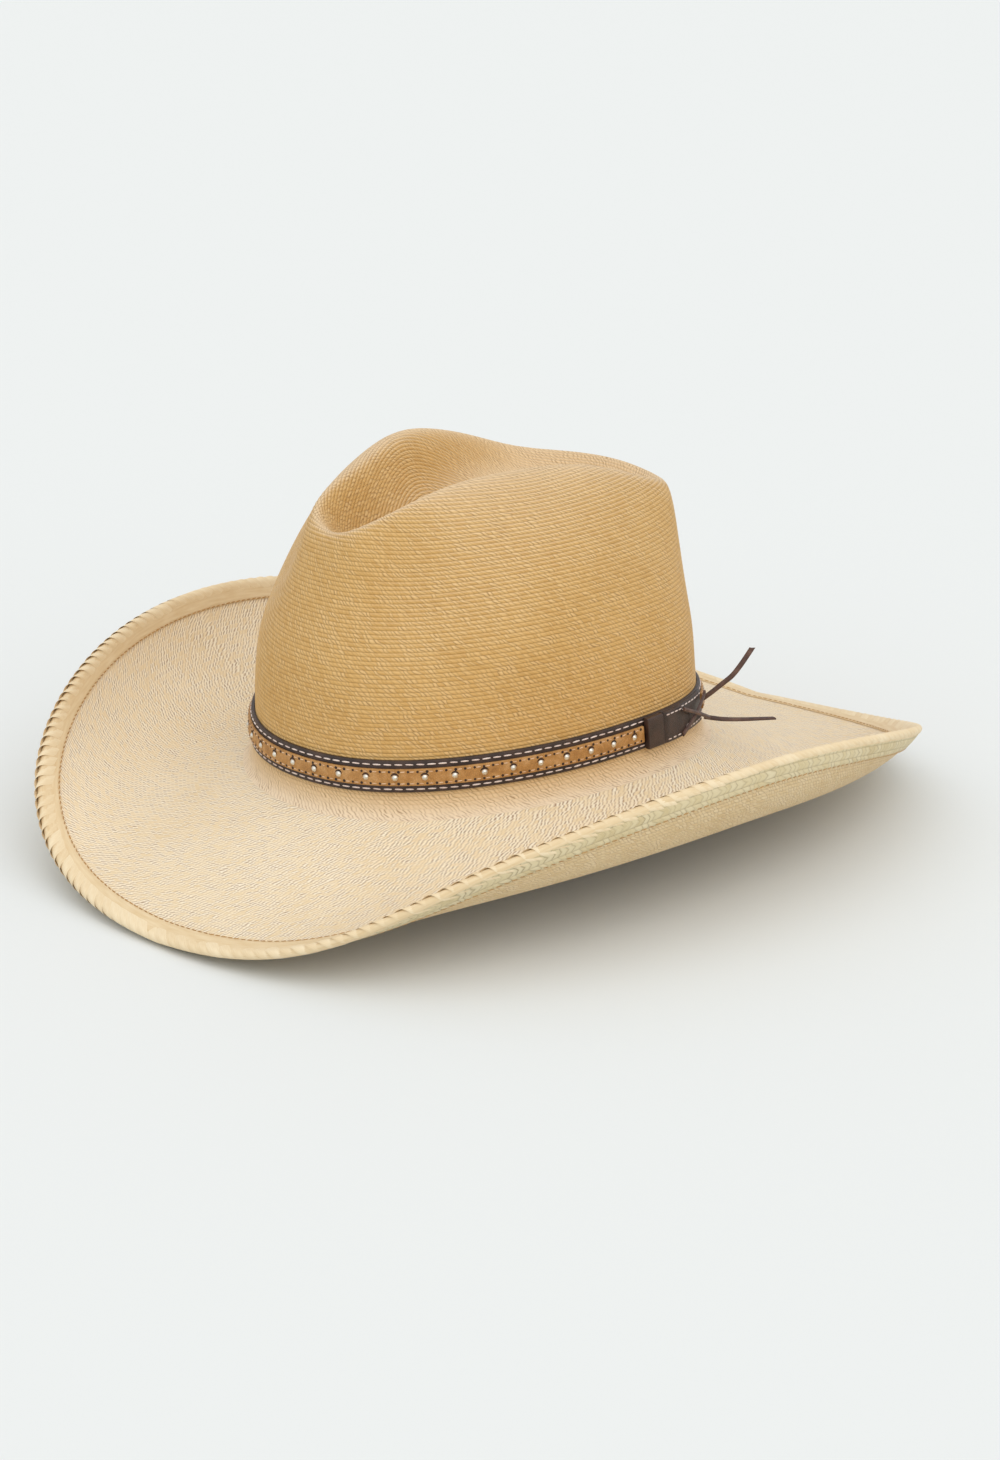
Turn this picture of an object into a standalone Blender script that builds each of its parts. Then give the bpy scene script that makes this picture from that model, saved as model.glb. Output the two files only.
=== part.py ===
"""Straw western hat with a pinched teardrop crown, a rolled brim and a studded leather band.

Frame: the wearer faces -Y, +X is the wearer's left and +Z is up. The origin lies on the table
that the brim stands on. Every angle is counted from the front (-Y) towards the wearer's left.
"""
import math

import bmesh
import bpy
import numpy as np

MM = 0.001

# Head oval: the line where the crown wall meets the brim
HEAD_HALF_WIDTH = 86.5 * MM
HEAD_HALF_LENGTH = 102.8 * MM
HEAD_EGG = 0.09                 # narrower at the forehead by this share
HEAD_SQUARENESS = 2.2           # 2 would be a plain ellipse
HEAD_SHIFT_Y = -4.2 * MM        # centres the whole brim on the origin
BREAK_HEIGHT = 38.5 * MM        # mean height of that line above the table
BREAK_SADDLE = 2.4 * MM         # sides up, front and back down
BREAK_LEAN = 3.1 * MM           # front up, back down

# Straw shell
STRAW = 2.4 * MM
GAP = 0.35 * MM
FOOT = 6.0 * MM                 # strip of brim that belongs to the crown's foot

# Brim: distance out from the break, and its slope in degrees at the start and at the edge
BRIM_FRONT, BRIM_SIDE, BRIM_BACK = 92.0 * MM, 105.9 * MM, 98.4 * MM
START_FRONT, START_SIDE, START_BACK = -22.0, -22.0, -21.1
EDGE_FRONT, EDGE_SIDE, EDGE_BACK = -26.6, 89.0, -14.3
ROLL_FRONT_ANGLE, ROLL_FRONT_SPREAD = 32.1, 19.3
ROLL_BACK_ANGLE, ROLL_BACK_SPREAD = 36.0, 29.9
CURL_SIDE, CURL_ENDS = 1.65, 3.0    # higher keeps the curl nearer the edge

# Crown crease: seven stations of the crest, 30 degrees apart, front to back (x, y, z above break)
CREST_CAGE = (
    (0.0, -84.4, 109.7),
    (20.3, -77.3, 119.6),
    (25.6, -42.8, 129.6),
    (43.3, -1.1, 133.7),
    (49.1, 40.8, 123.4),
    (51.4, 84.0, 103.9),
    (0.0, 101.0, 107.0),
)
HOLLOW_FRONT, HOLLOW_BACK = -46.0 * MM, 52.0 * MM   # ends of the teardrop's floor along Y
HOLLOW_FRONT_Z, HOLLOW_BACK_Z = 88.0 * MM, 101.0 * MM
HOLLOW_HALF_WIDTH = 8.0 * MM    # the floor is a narrow rounded trough, not a crease
LEAN_FRONT, LEAN_SIDE, LEAN_BACK = 0.02, 0.05, 0.085   # wall, inward per unit of height
WALL_LOW, WALL_STRAIGHT = 9.0 * MM, 26.0 * MM   # heights that hold the wall straight
WALL_TURN = 0.50                # share of the crest's height where the wall turns inward
SIDE_FULLNESS = 9.0 * MM        # swell of the wall below the crest at the sides
PINCH_DEPTH = 9.0 * MM          # finger dents beside the front pinch
PINCH_ANGLE, PINCH_SPREAD = 40.0, 17.0

# Edge of the brim
WIRE_RADIUS = 0.8 * MM
PLAIT_WIDTH = 8.5 * MM
PLAIT_THICK = 0.9 * MM
PLAIT_GAP = 0.6 * MM            # room for the twist of the brim between two stations

# Sweatband
SWEAT_THICK = 1.0 * MM
SWEAT_HEIGHT = 34.0 * MM
TAPE_WIDTH = 3.0 * MM
TAPE_HEIGHT = 2.0 * MM

# Hat band: heights above the break, layers outward from the crown wall
BAND_LOW = 9.0 * MM
BAND_HIGH = 22.7 * MM
BAND_FIT = 0.4 * MM
BACKING_THICK = 1.4 * MM
INLAY_THICK = 0.9 * MM
INLAY_HEIGHT = 7.2 * MM
INLAY_START, INLAY_END = 129.0, 456.0
STUD_COUNT = 45
STUD_RADIUS = 1.3 * MM
STUD_HEIGHT = 0.9 * MM
STUD_FIRST, STUD_LAST = 134.0, 453.0

# Closure on the wearer's left, behind the ear
STRAP_THICK = 1.1 * MM
KEEPER_START, KEEPER_END = 96.5, 102.0
TIP_START, TIP_SHOULDER, TIP_END = 102.3, 109.5, 114.8
TIP_NOSE = 2.0 * MM
END_START, END_END = 102.3, 126.0
LACE_WIDTH = 2.3 * MM
LACE_THICK = 0.8 * MM
CROSS_START, CROSS_END = 109.0, 125.5
TAIL_RADIUS = 1.15 * MM

# Routes of the two free lace tails, from the closure outward
UPPER_TAIL = (
    (76.6, 62.2, 54.9),
    (79.4, 65.8, 58.1),
    (81.8, 69.6, 61.3),
    (84.1, 73.4, 64.5),
    (85.8, 77.5, 69.1),
    (87.8, 83.2, 76.3),
)
LOWER_TAIL = (
    (77.4, 62.2, 46.7),
    (84.0, 66.9, 45.9),
    (90.2, 72.9, 45.6),
    (96.8, 79.4, 45.7),
    (100.9, 83.4, 45.8),
)

# Resolution
AROUND = 72
AROUND_BRIM = 96
UP_CROWN = 20
OUT_BRIM = 8
WALL_SAMPLES = 161
WALL_PART = slice(12, 80)       # the rising part of a profile sampled that finely


# ---------------------------------------------------------------- shape of the hat

def head_oval(phi):
    """Plan position of the break line at the angles phi."""
    sine, cosine = np.sin(phi), np.cos(phi)
    power = 2.0 / HEAD_SQUARENESS
    x = HEAD_HALF_WIDTH * np.sign(sine) * np.abs(sine) ** power * (1.0 - HEAD_EGG * cosine)
    y = -HEAD_HALF_LENGTH * np.sign(cosine) * np.abs(cosine) ** power + HEAD_SHIFT_Y
    return np.stack([x, y], axis=-1)


def outward(phi):
    """Unit plan normal of the break line."""
    step = 1e-3
    tangent = head_oval(phi + step) - head_oval(phi - step)
    tangent /= np.linalg.norm(tangent, axis=-1, keepdims=True)
    return np.stack([tangent[..., 1], -tangent[..., 0]], axis=-1)


def break_height(phi):
    return BREAK_HEIGHT - BREAK_SADDLE * np.cos(2.0 * phi) + BREAK_LEAN * np.cos(phi)


def around_mix(phi, side, front, back):
    """A value that is `side` at both sides and runs smoothly to `front` and `back`."""
    share = np.sin(phi) ** 2
    ends = 0.5 * (1.0 + np.cos(phi)) * front + 0.5 * (1.0 - np.cos(phi)) * back
    return share * side + (1.0 - share) * ends


def roll_share(phi):
    """How far the brim is rolled up: 1 along the sides, 0 at front and back."""
    turn = np.degrees(np.abs((phi + math.pi) % (2.0 * math.pi) - math.pi))
    front = 0.5 * (1.0 + np.tanh((turn - ROLL_FRONT_ANGLE) / ROLL_FRONT_SPREAD))
    back = 0.5 * (1.0 + np.tanh((180.0 - turn - ROLL_BACK_ANGLE) / ROLL_BACK_SPREAD))
    return front * back


def brim_profile(phi, steps=48):
    """Outward run and rise of the brim's upper face, with its slope, at steps + 1 stations."""
    rolled = roll_share(phi)
    flat = 0.5 * (1.0 + np.cos(phi)) * EDGE_FRONT + 0.5 * (1.0 - np.cos(phi)) * EDGE_BACK
    edge = np.radians(rolled * EDGE_SIDE + (1.0 - rolled) * flat)
    start = np.radians(around_mix(phi, START_SIDE, START_FRONT, START_BACK))
    width = around_mix(phi, BRIM_SIDE, BRIM_FRONT, BRIM_BACK)
    curl = around_mix(phi, CURL_SIDE, CURL_ENDS, CURL_ENDS)
    middle = (np.arange(steps) + 0.5) / steps
    slope = start[:, None] + (edge - start)[:, None] * middle[None, :] ** curl[:, None]
    run = np.cumsum(width[:, None] * np.cos(slope) / steps, axis=1)
    rise = np.cumsum(width[:, None] * np.sin(slope) / steps, axis=1)
    zero = np.zeros((len(phi), 1))
    return np.hstack([zero, run]), np.hstack([zero, rise]), width


def brim_points(phi, distances):
    """Upper face of the brim at each distance (m) from the break, or from the edge if negative."""
    run, rise, width = brim_profile(phi)
    oval, normal, level = head_oval(phi), outward(phi), break_height(phi)
    points = np.zeros((len(phi), len(distances), 3))
    for i in range(len(phi)):
        along = np.linspace(0.0, width[i], run.shape[1])
        for j, wanted in enumerate(distances):
            s = wanted if wanted >= 0.0 else width[i] + wanted
            r = np.interp(s, along, run[i])
            z = np.interp(s, along, rise[i])
            points[i, j, :2] = oval[i] + normal[i] * r
            points[i, j, 2] = level[i] + z
    return points


def crest_points(phi):
    """Crest of the teardrop crease, as a closed cubic B-spline through the cage."""
    half = np.array(CREST_CAGE) * MM
    mirrored = half[-2:0:-1] * np.array([-1.0, 1.0, 1.0])
    cage = np.vstack([half, mirrored])
    count = len(cage)
    place = (phi / (2.0 * math.pi) * count) % count
    cell = np.floor(place).astype(int)
    t = (place - cell)[:, None]
    before, start, end, after = (cage[(cell + k) % count] for k in (-1, 0, 1, 2))
    crest = ((1 - t) ** 3 * before + (3 * t ** 3 - 6 * t ** 2 + 4) * start
             + (-3 * t ** 3 + 3 * t ** 2 + 3 * t + 1) * end + t ** 3 * after) / 6.0
    crest[:, 1] += HEAD_SHIFT_Y
    crest[:, 2] += BREAK_HEIGHT
    return crest


def open_spline(controls, samples):
    """Clamped uniform cubic B-spline: controls (..., n, 3) to points (..., samples, 3)."""
    ends = [2 * controls[..., :1, :] - controls[..., 1:2, :],
            2 * controls[..., -1:, :] - controls[..., -2:-1, :]]
    cage = np.concatenate([ends[0], controls, ends[1]], axis=-2)
    spans = controls.shape[-2] - 1
    place = np.linspace(0.0, spans, samples)
    cell = np.minimum(np.floor(place).astype(int), spans - 1)
    t = (place - cell)[:, None]
    before, start = cage[..., cell, :], cage[..., cell + 1, :]
    end, after = cage[..., cell + 2, :], cage[..., cell + 3, :]
    return ((1 - t) ** 3 * before + (3 * t ** 3 - 6 * t ** 2 + 4) * start
            + (-3 * t ** 3 + 3 * t ** 2 + 3 * t + 1) * end + t ** 3 * after) / 6.0


def with_normal(points, phi, distance):
    """Push points outward in plan by a distance given for each angle."""
    moved = points.copy()
    moved[:, :2] += outward(phi) * np.asarray(distance)[:, None]
    return moved


def hollow_floor(phi):
    """Lowest line of the teardrop hollow, facing each angle."""
    toward = 0.5 * (1.0 - np.cos(phi))
    floor = np.zeros((len(phi), 3))
    floor[:, 0] = HOLLOW_HALF_WIDTH * np.sin(phi)
    floor[:, 1] = HOLLOW_FRONT + (HOLLOW_BACK - HOLLOW_FRONT) * toward + HEAD_SHIFT_Y
    floor[:, 2] = HOLLOW_FRONT_Z + (HOLLOW_BACK_Z - HOLLOW_FRONT_Z) * toward + BREAK_HEIGHT
    return floor


def crown_controls(phi):
    """Control points of the crown's outer face, from its foot up over the crest to the centre."""
    foot = brim_points(phi, [FOOT, 0.35 * FOOT])
    oval = np.column_stack([head_oval(phi), break_height(phi)])
    crest = crest_points(phi)
    rise = crest[:, 2] - oval[:, 2]
    turn = np.degrees(np.abs((phi + math.pi) % (2.0 * math.pi) - math.pi))

    lean = around_mix(phi, LEAN_SIDE, LEAN_FRONT, LEAN_BACK)

    def wall(height):
        level = with_normal(oval, phi, -lean * height)
        level[:, 2] += height
        return level

    low = wall(np.full(len(phi), WALL_LOW))
    band = wall(np.full(len(phi), WALL_STRAIGHT))
    middle = wall(WALL_TURN * rise)
    full = SIDE_FULLNESS * np.sin(phi) ** 2
    dent = PINCH_DEPTH * np.exp(-((turn - PINCH_ANGLE) / PINCH_SPREAD) ** 2)
    shoulder = middle + 0.60 * (crest - middle)
    shoulder = with_normal(shoulder, phi, full - dent)
    floor = hollow_floor(phi)
    lip = crest + 0.30 * (floor - crest)
    lip[:, 2] -= 0.06 * rise
    bowl = crest + 0.72 * (floor - crest)
    bowl[:, 2] = floor[:, 2] + 0.12 * (crest[:, 2] - floor[:, 2])
    raised = (6.0 * crest - shoulder - lip) / 4.0
    near = crest + 0.85 * (raised - crest)
    centre = np.tile(np.array([0.0, HEAD_SHIFT_Y, BREAK_HEIGHT
                               + 0.5 * (HOLLOW_FRONT_Z + HOLLOW_BACK_Z)]), (len(phi), 1))
    rows = [foot[:, 0], foot[:, 1], low, band, middle, shoulder, near, lip, bowl, floor, centre]
    return np.stack(rows, axis=1)


def crown_grid(phi, samples):
    return open_spline(crown_controls(phi), samples)


def wall_distance(phi, heights):
    """How far the crown wall stands outside the break line, at one height for each angle."""
    profile = crown_grid(phi, WALL_SAMPLES)[:, WALL_PART]
    oval, normal = head_oval(phi), outward(phi)
    level = break_height(phi)
    result = np.zeros(len(phi))
    for i in range(len(phi)):
        out = (profile[i, :, :2] - oval[i]) @ normal[i]
        result[i] = np.interp(heights[i], profile[i, :, 2] - level[i], out)
    return result


def wall_point(phi, height, distance):
    """Point at a height above the break and a distance outside the crown wall."""
    heights = np.broadcast_to(np.asarray(height, dtype=float), phi.shape)
    wall = wall_distance(phi, heights)
    plan = head_oval(phi) + outward(phi) * (wall + distance)[:, None]
    return np.column_stack([plan, break_height(phi) + heights])


# ---------------------------------------------------------------- building tools

def clear_scene():
    for item in list(bpy.data.objects):
        bpy.data.objects.remove(item, do_unlink=True)


def make_collection(name):
    collection = bpy.data.collections.new(name)
    bpy.context.scene.collection.children.link(collection)
    return collection


def make_material(name, colour, roughness, metallic=0.0):
    material = bpy.data.materials.new(name)
    material.use_nodes = True
    shader = material.node_tree.nodes["Principled BSDF"]
    shader.inputs["Base Color"].default_value = (*colour, 1.0)
    shader.inputs["Roughness"].default_value = roughness
    shader.inputs["Metallic"].default_value = metallic
    return material


def add_object(name, mesh, material, parent=None):
    mesh.materials.append(material)
    mesh.shade_smooth()
    item = bpy.data.objects.new(name, mesh)
    HAT.objects.link(item)
    if parent is not None:
        item.parent = parent
        item.matrix_parent_inverse = parent.matrix_world.inverted()
    return item


def grid_mesh(name, points, pole=None):
    """Open sheet from points (around, rows, 3), with an optional centre point.

    The rows run from the outer edge towards the centre, so the faces look up and outward.
    """
    around, out = points.shape[:2]
    vertices = [tuple(p) for p in points.reshape(-1, 3)]
    faces = []
    for i in range(around):
        j = (i + 1) % around
        for k in range(out - 1):
            faces.append((i * out + k, j * out + k, j * out + k + 1, i * out + k + 1))
    if pole is not None:
        vertices.append(tuple(pole))
        last = len(vertices) - 1
        for i in range(around):
            j = (i + 1) % around
            faces.append((i * out + out - 1, j * out + out - 1, last))
    mesh = bpy.data.meshes.new(name)
    mesh.from_pydata(vertices, [], faces)
    return mesh


def loft_mesh(name, sections, closed):
    """Solid swept through section loops (stations, corners, 3), with end caps if not closed."""
    stations, corners = sections.shape[:2]
    shape = bmesh.new()
    loops = [[shape.verts.new(tuple(p)) for p in loop] for loop in sections]
    last = stations if closed else stations - 1
    for i in range(last):
        here, there = loops[i], loops[(i + 1) % stations]
        for k in range(corners):
            m = (k + 1) % corners
            shape.faces.new((here[k], here[m], there[m], there[k]))
    if not closed:
        shape.faces.new(loops[0][::-1])
        shape.faces.new(loops[-1])
    bmesh.ops.recalc_face_normals(shape, faces=shape.faces)
    if shape.calc_volume(signed=True) < 0.0:
        bmesh.ops.reverse_faces(shape, faces=shape.faces)
    mesh = bpy.data.meshes.new(name)
    shape.to_mesh(mesh)
    shape.free()
    return mesh


def add_thickness(item, thickness):
    solid = item.modifiers.new("thickness", "SOLIDIFY")
    solid.thickness = thickness
    solid.offset = -1.0
    solid.use_even_offset = True
    solid.use_rim = True


def full_circle(count=AROUND):
    return np.arange(count) * 2.0 * math.pi / count


def arc(start, end):
    """Angles from start to end in degrees, on the same stations as the crown where they fall."""
    step = 360.0 / AROUND
    inner = np.arange(math.ceil(start / step + 0.2), math.floor(end / step - 0.2) + 1) * step
    return np.radians(np.concatenate([[start], inner, [end]]))


def wall_plate(name, phi, low, high, inner, thick, closed=False):
    """Curved plate on the crown wall between two heights, inner distance out and one thickness."""
    outer = inner + thick
    corners = [wall_point(phi, low, inner), wall_point(phi, low, outer),
               wall_point(phi, high, outer), wall_point(phi, high, inner)]
    return loft_mesh(name, np.stack(corners, axis=1), closed)


# ---------------------------------------------------------------- straw body

def make_crown(material):
    phi = full_circle()
    points = crown_grid(phi, UP_CROWN + 1)
    item = add_object("crown_shell", grid_mesh("crown_shell", points[:, :-1], points[0, -1]),
                      material)
    add_thickness(item, STRAW)


def make_brim(material):
    phi = full_circle(AROUND_BRIM)
    share = np.linspace(0.0, 1.0, OUT_BRIM)
    points = np.zeros((AROUND_BRIM, OUT_BRIM + 1, 3))
    width = around_mix(phi, BRIM_SIDE, BRIM_FRONT, BRIM_BACK)
    start = FOOT + GAP
    for i in range(AROUND_BRIM):
        distances = start + (width[i] - PLAIT_WIDTH - start) * share
        distances = np.append(distances, width[i])
        points[i] = brim_points(phi[i:i + 1], distances)[0]
    item = add_object("brim", grid_mesh("brim", points[:, ::-1]), material)
    add_thickness(item, STRAW)


def edge_frame(phi, inset=0.0, chord=PLAIT_WIDTH):
    """Point, outward direction and upper-face normal of the brim, at an inset from its edge."""
    on_edge = [-inset - 1e-9]
    outer = brim_points(phi, on_edge)[:, 0]
    along = outer - brim_points(phi, [-inset - chord])[:, 0]
    along /= np.linalg.norm(along, axis=1, keepdims=True)
    turn = math.pi / AROUND_BRIM
    across = (brim_points(phi + turn, on_edge) - brim_points(phi - turn, on_edge))[:, 0]
    normal = np.cross(along, across)
    normal /= np.linalg.norm(normal, axis=1, keepdims=True)
    return outer, along, normal


def make_edge_wire(material):
    """Spring wire that holds the brim's edge in shape, inside the edge plait."""
    phi = full_circle(AROUND_BRIM)
    edge, along, normal = edge_frame(phi)
    centre = edge + along * (WIRE_RADIUS + GAP) - normal * (0.5 * STRAW)
    sections = []
    for k in range(6):
        turn = k * math.pi / 3.0
        sections.append(centre + along * (WIRE_RADIUS * math.cos(turn))
                        + normal * (WIRE_RADIUS * math.sin(turn)))
    mesh = loft_mesh("brim_edge_wire", np.stack(sections, axis=1), True)
    add_object("brim_edge_wire", mesh, material)


def make_edge_plait(material):
    """Whipped plait folded over the brim's edge: an upper leaf, a fold and a lower leaf."""
    phi = full_circle(AROUND_BRIM)
    edge, along, normal = edge_frame(phi)
    leaf, _, leaf_normal = edge_frame(phi, PLAIT_WIDTH, 0.5 * MM)
    top, under = PLAIT_GAP, -STRAW - PLAIT_GAP
    reach = 2.0 * WIRE_RADIUS + 2.0 * GAP
    loop = [
        leaf + leaf_normal * top,
        edge + normal * top,
        edge + along * reach + normal * (0.2 * top),
        edge + along * reach + normal * (under - 0.2 * top),
        edge + normal * under,
        leaf + leaf_normal * under,
        leaf + leaf_normal * (under - PLAIT_THICK),
        edge + normal * (under - PLAIT_THICK),
        edge + along * (reach + PLAIT_THICK) + normal * (under - 0.5 * PLAIT_THICK),
        edge + along * (reach + PLAIT_THICK) + normal * (top + 0.5 * PLAIT_THICK),
        edge + normal * (top + PLAIT_THICK),
        leaf + leaf_normal * (top + PLAIT_THICK),
    ]
    mesh = loft_mesh("brim_edge_plait", np.stack(loop, axis=1), True)
    add_object("brim_edge_plait", mesh, material)


# ---------------------------------------------------------------- sweatband

def make_sweatband(leather, tape):
    """Leather band inside the crown and the sewn tape under its lower edge."""
    phi = full_circle()
    inner_face = -STRAW - 2.0 * GAP
    base = BREAK_HEIGHT - 1.0 * MM
    oval, normal = head_oval(phi), outward(phi)

    def ring(height, distance):
        rise = height - break_height(phi)
        wall = wall_distance(phi, np.maximum(rise, BAND_LOW))
        plan = oval + normal * (wall + distance)[:, None]
        return np.column_stack([plan, np.full(len(phi), height)])

    leather_low = base + TAPE_HEIGHT + GAP
    leather_high = base + SWEAT_HEIGHT
    band = [ring(leather_low, inner_face - SWEAT_THICK), ring(leather_low, inner_face),
            ring(leather_high, inner_face), ring(leather_high, inner_face - SWEAT_THICK)]
    add_object("sweatband", loft_mesh("sweatband", np.stack(band, axis=1), True), leather)
    sewn = [ring(base, inner_face - TAPE_WIDTH), ring(base, inner_face),
            ring(base + TAPE_HEIGHT, inner_face), ring(base + TAPE_HEIGHT, inner_face - TAPE_WIDTH)]
    add_object("sweatband_tape", loft_mesh("sweatband_tape", np.stack(sewn, axis=1), True), tape)


# ---------------------------------------------------------------- hat band

def make_band(backing, inlay, parent):
    middle = 0.5 * (BAND_LOW + BAND_HIGH)
    mesh = wall_plate("band_backing", full_circle(), BAND_LOW, BAND_HIGH, BAND_FIT,
                      BACKING_THICK, closed=True)
    add_object("band_backing", mesh, backing, parent)
    phi = arc(INLAY_START, INLAY_END)
    mesh = wall_plate("band_inlay", phi, middle - 0.5 * INLAY_HEIGHT, middle + 0.5 * INLAY_HEIGHT,
                      BAND_FIT + BACKING_THICK + GAP, INLAY_THICK)
    add_object("band_inlay", mesh, inlay, parent)


def stud_angles():
    """Angles that space the studs evenly along the band."""
    fine = np.radians(np.linspace(STUD_FIRST, STUD_LAST, 721))
    path = head_oval(fine) + outward(fine) * 3.0 * MM
    length = np.concatenate([[0.0], np.cumsum(np.linalg.norm(np.diff(path, axis=0), axis=1))])
    return np.interp(np.linspace(0.0, length[-1], STUD_COUNT), length, fine)


def make_studs(material, parent):
    """Domed rivet heads along the middle of the inlay."""
    angles = stud_angles()
    height = 0.5 * (BAND_LOW + BAND_HIGH)
    seat = BAND_FIT + BACKING_THICK + GAP + INLAY_THICK + GAP
    places = wall_point(angles, height, seat)
    normals = outward(angles)
    for index, (place, normal) in enumerate(zip(places, normals), start=1):
        side = np.array([-normal[1], normal[0], 0.0])
        face = np.array([normal[0], normal[1], 0.0])
        up = np.array([0.0, 0.0, 1.0])
        shape = bmesh.new()
        rings = []
        for rise, width in ((0.0, 1.0), (0.55, 0.82)):
            rings.append([shape.verts.new(tuple(
                place + face * STUD_HEIGHT * rise
                + STUD_RADIUS * width * (side * math.cos(a) + up * math.sin(a))))
                for a in full_circle(8)])
        top = shape.verts.new(tuple(place + face * STUD_HEIGHT))
        shape.faces.new(rings[0])
        for k in range(8):
            m = (k + 1) % 8
            shape.faces.new((rings[0][k], rings[0][m], rings[1][m], rings[1][k]))
            shape.faces.new((rings[1][k], rings[1][m], top))
        bmesh.ops.recalc_face_normals(shape, faces=shape.faces)
        name = f"band_stud_{index:02d}"
        mesh = bpy.data.meshes.new(name)
        shape.to_mesh(mesh)
        shape.free()
        add_object(name, mesh, material, parent)


def make_closure(smooth, stitched, lace, parent):
    """Keeper, pointed strap end and straight strap end, laid over each other on the band."""
    middle = 0.5 * (BAND_LOW + BAND_HIGH)
    half = 0.5 * (BAND_HIGH - BAND_LOW)
    first = BAND_FIT + BACKING_THICK + GAP
    second = first + STRAP_THICK + GAP
    phi = arc(END_START, END_END)
    add_object("strap_end", wall_plate("strap_end", phi, middle - half, middle + half, first,
                                       STRAP_THICK), stitched, parent)
    phi = np.unique(np.concatenate([arc(TIP_START, TIP_END), np.radians([TIP_SHOULDER])]))
    share = np.clip((np.degrees(phi) - TIP_SHOULDER) / (TIP_END - TIP_SHOULDER), 0.0, 1.0)
    reach = half + (TIP_NOSE - half) * share
    add_object("strap_tip", wall_plate("strap_tip", phi, middle - reach, middle + reach, second,
                                       STRAP_THICK), stitched, parent)
    make_keeper(smooth, parent, middle, half, first, second + STRAP_THICK)
    make_crosses(lace, parent, middle, half, second + STRAP_THICK + GAP)


def make_keeper(material, parent, middle, half, inner, outer):
    """Leather keeper: a thick folded tab at the foot of the two straps, level with the band."""
    mesh = wall_plate("strap_keeper", arc(KEEPER_START, KEEPER_END), middle - half,
                      middle + half, inner, outer - inner)
    add_object("strap_keeper", mesh, material, parent)


def make_crosses(material, parent, middle, half, layer):
    """Lace crossing over itself on the nose of the pointed end."""
    phi = np.radians(np.linspace(CROSS_START, CROSS_END, 7))
    share = np.linspace(0.0, 1.0, 7)
    slant = 0.4 * LACE_WIDTH
    drop = (half - 1.0 * MM) * (1.0 - 2.0 * share)
    for name, sign, lift in (("lace_cross_under", -1.0, 0.0),
                             ("lace_cross_over", 1.0, LACE_THICK + GAP)):
        line = middle + sign * drop
        mesh = wall_plate(name, phi, line - slant, line + slant, layer + lift, LACE_THICK)
        add_object(name, mesh, material, parent)


def make_tail(name, route, material, parent):
    """Free end of the lace, as a round cord along its route."""
    curve = bpy.data.curves.new(name, "CURVE")
    curve.dimensions = "3D"
    curve.bevel_depth = TAIL_RADIUS
    curve.bevel_resolution = 1
    curve.use_fill_caps = True
    spline = curve.splines.new("POLY")
    spline.points.add(len(route) - 1)
    for point, place in zip(spline.points, route):
        point.co = (place[0] * MM, place[1] * MM, place[2] * MM, 1.0)
    curve.materials.append(material)
    item = bpy.data.objects.new(name, curve)
    HAT.objects.link(item)
    item.parent = parent


def main():
    palm = make_material("palm_plait", (0.66, 0.44, 0.20), 0.62)
    palm_edge = make_material("palm_whip", (0.72, 0.56, 0.32), 0.6)
    wire = make_material("spring_wire", (0.60, 0.60, 0.60), 0.35, 1.0)
    lining = make_material("sweat_leather", (0.34, 0.21, 0.12), 0.6)
    tape = make_material("sewn_tape", (0.30, 0.20, 0.13), 0.85)
    dark = make_material("dark_leather", (0.055, 0.03, 0.022), 0.5)
    smooth = make_material("keeper_leather", (0.07, 0.035, 0.025), 0.42)
    tan = make_material("tan_leather", (0.47, 0.23, 0.07), 0.5)
    metal = make_material("stud_metal", (0.80, 0.78, 0.72), 0.3, 1.0)
    lace = make_material("lace_leather", (0.09, 0.055, 0.045), 0.55)

    make_crown(palm)
    make_brim(palm)
    make_edge_wire(wire)
    make_edge_plait(palm_edge)
    make_sweatband(lining, tape)

    band_lift = bpy.data.objects.new("band_lift", None)
    HAT.objects.link(band_lift)
    make_band(dark, tan, band_lift)
    make_studs(metal, band_lift)
    make_closure(smooth, dark, lace, band_lift)
    make_tail("lace_tail_upper", UPPER_TAIL, lace, band_lift)
    make_tail("lace_tail_lower", LOWER_TAIL, lace, band_lift)


clear_scene()
HAT = make_collection("western_hat")
main()
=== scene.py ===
"""Looks of a straw western hat: sewn palm plait, whipped brim edge and studded leather band.

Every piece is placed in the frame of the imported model: the wearer faces -Y, +X is the wearer's
left and +Z is up. Angles run from the front towards the wearer's left.
"""
import logging
import math
from dataclasses import dataclass
from enum import Enum

import bmesh
import bpy
import numpy as np
from mathutils import Matrix, Vector


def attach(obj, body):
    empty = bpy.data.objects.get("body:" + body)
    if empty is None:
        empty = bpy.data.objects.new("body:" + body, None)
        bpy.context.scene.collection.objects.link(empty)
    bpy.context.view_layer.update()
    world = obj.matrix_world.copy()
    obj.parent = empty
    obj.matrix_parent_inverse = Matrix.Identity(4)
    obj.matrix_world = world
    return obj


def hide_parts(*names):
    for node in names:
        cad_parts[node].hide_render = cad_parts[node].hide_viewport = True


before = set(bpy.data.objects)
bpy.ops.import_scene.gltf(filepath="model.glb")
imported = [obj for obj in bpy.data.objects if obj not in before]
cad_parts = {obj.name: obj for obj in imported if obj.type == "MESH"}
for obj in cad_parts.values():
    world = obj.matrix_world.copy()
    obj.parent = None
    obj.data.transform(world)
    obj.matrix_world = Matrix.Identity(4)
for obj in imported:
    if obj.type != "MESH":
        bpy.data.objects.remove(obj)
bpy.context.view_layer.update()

Array = np.ndarray
Material, Mesh, Piece = bpy.types.Material, bpy.types.Mesh, bpy.types.Object
Node, Socket, Tree = bpy.types.Node, bpy.types.NodeSocket, bpy.types.NodeTree

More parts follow.
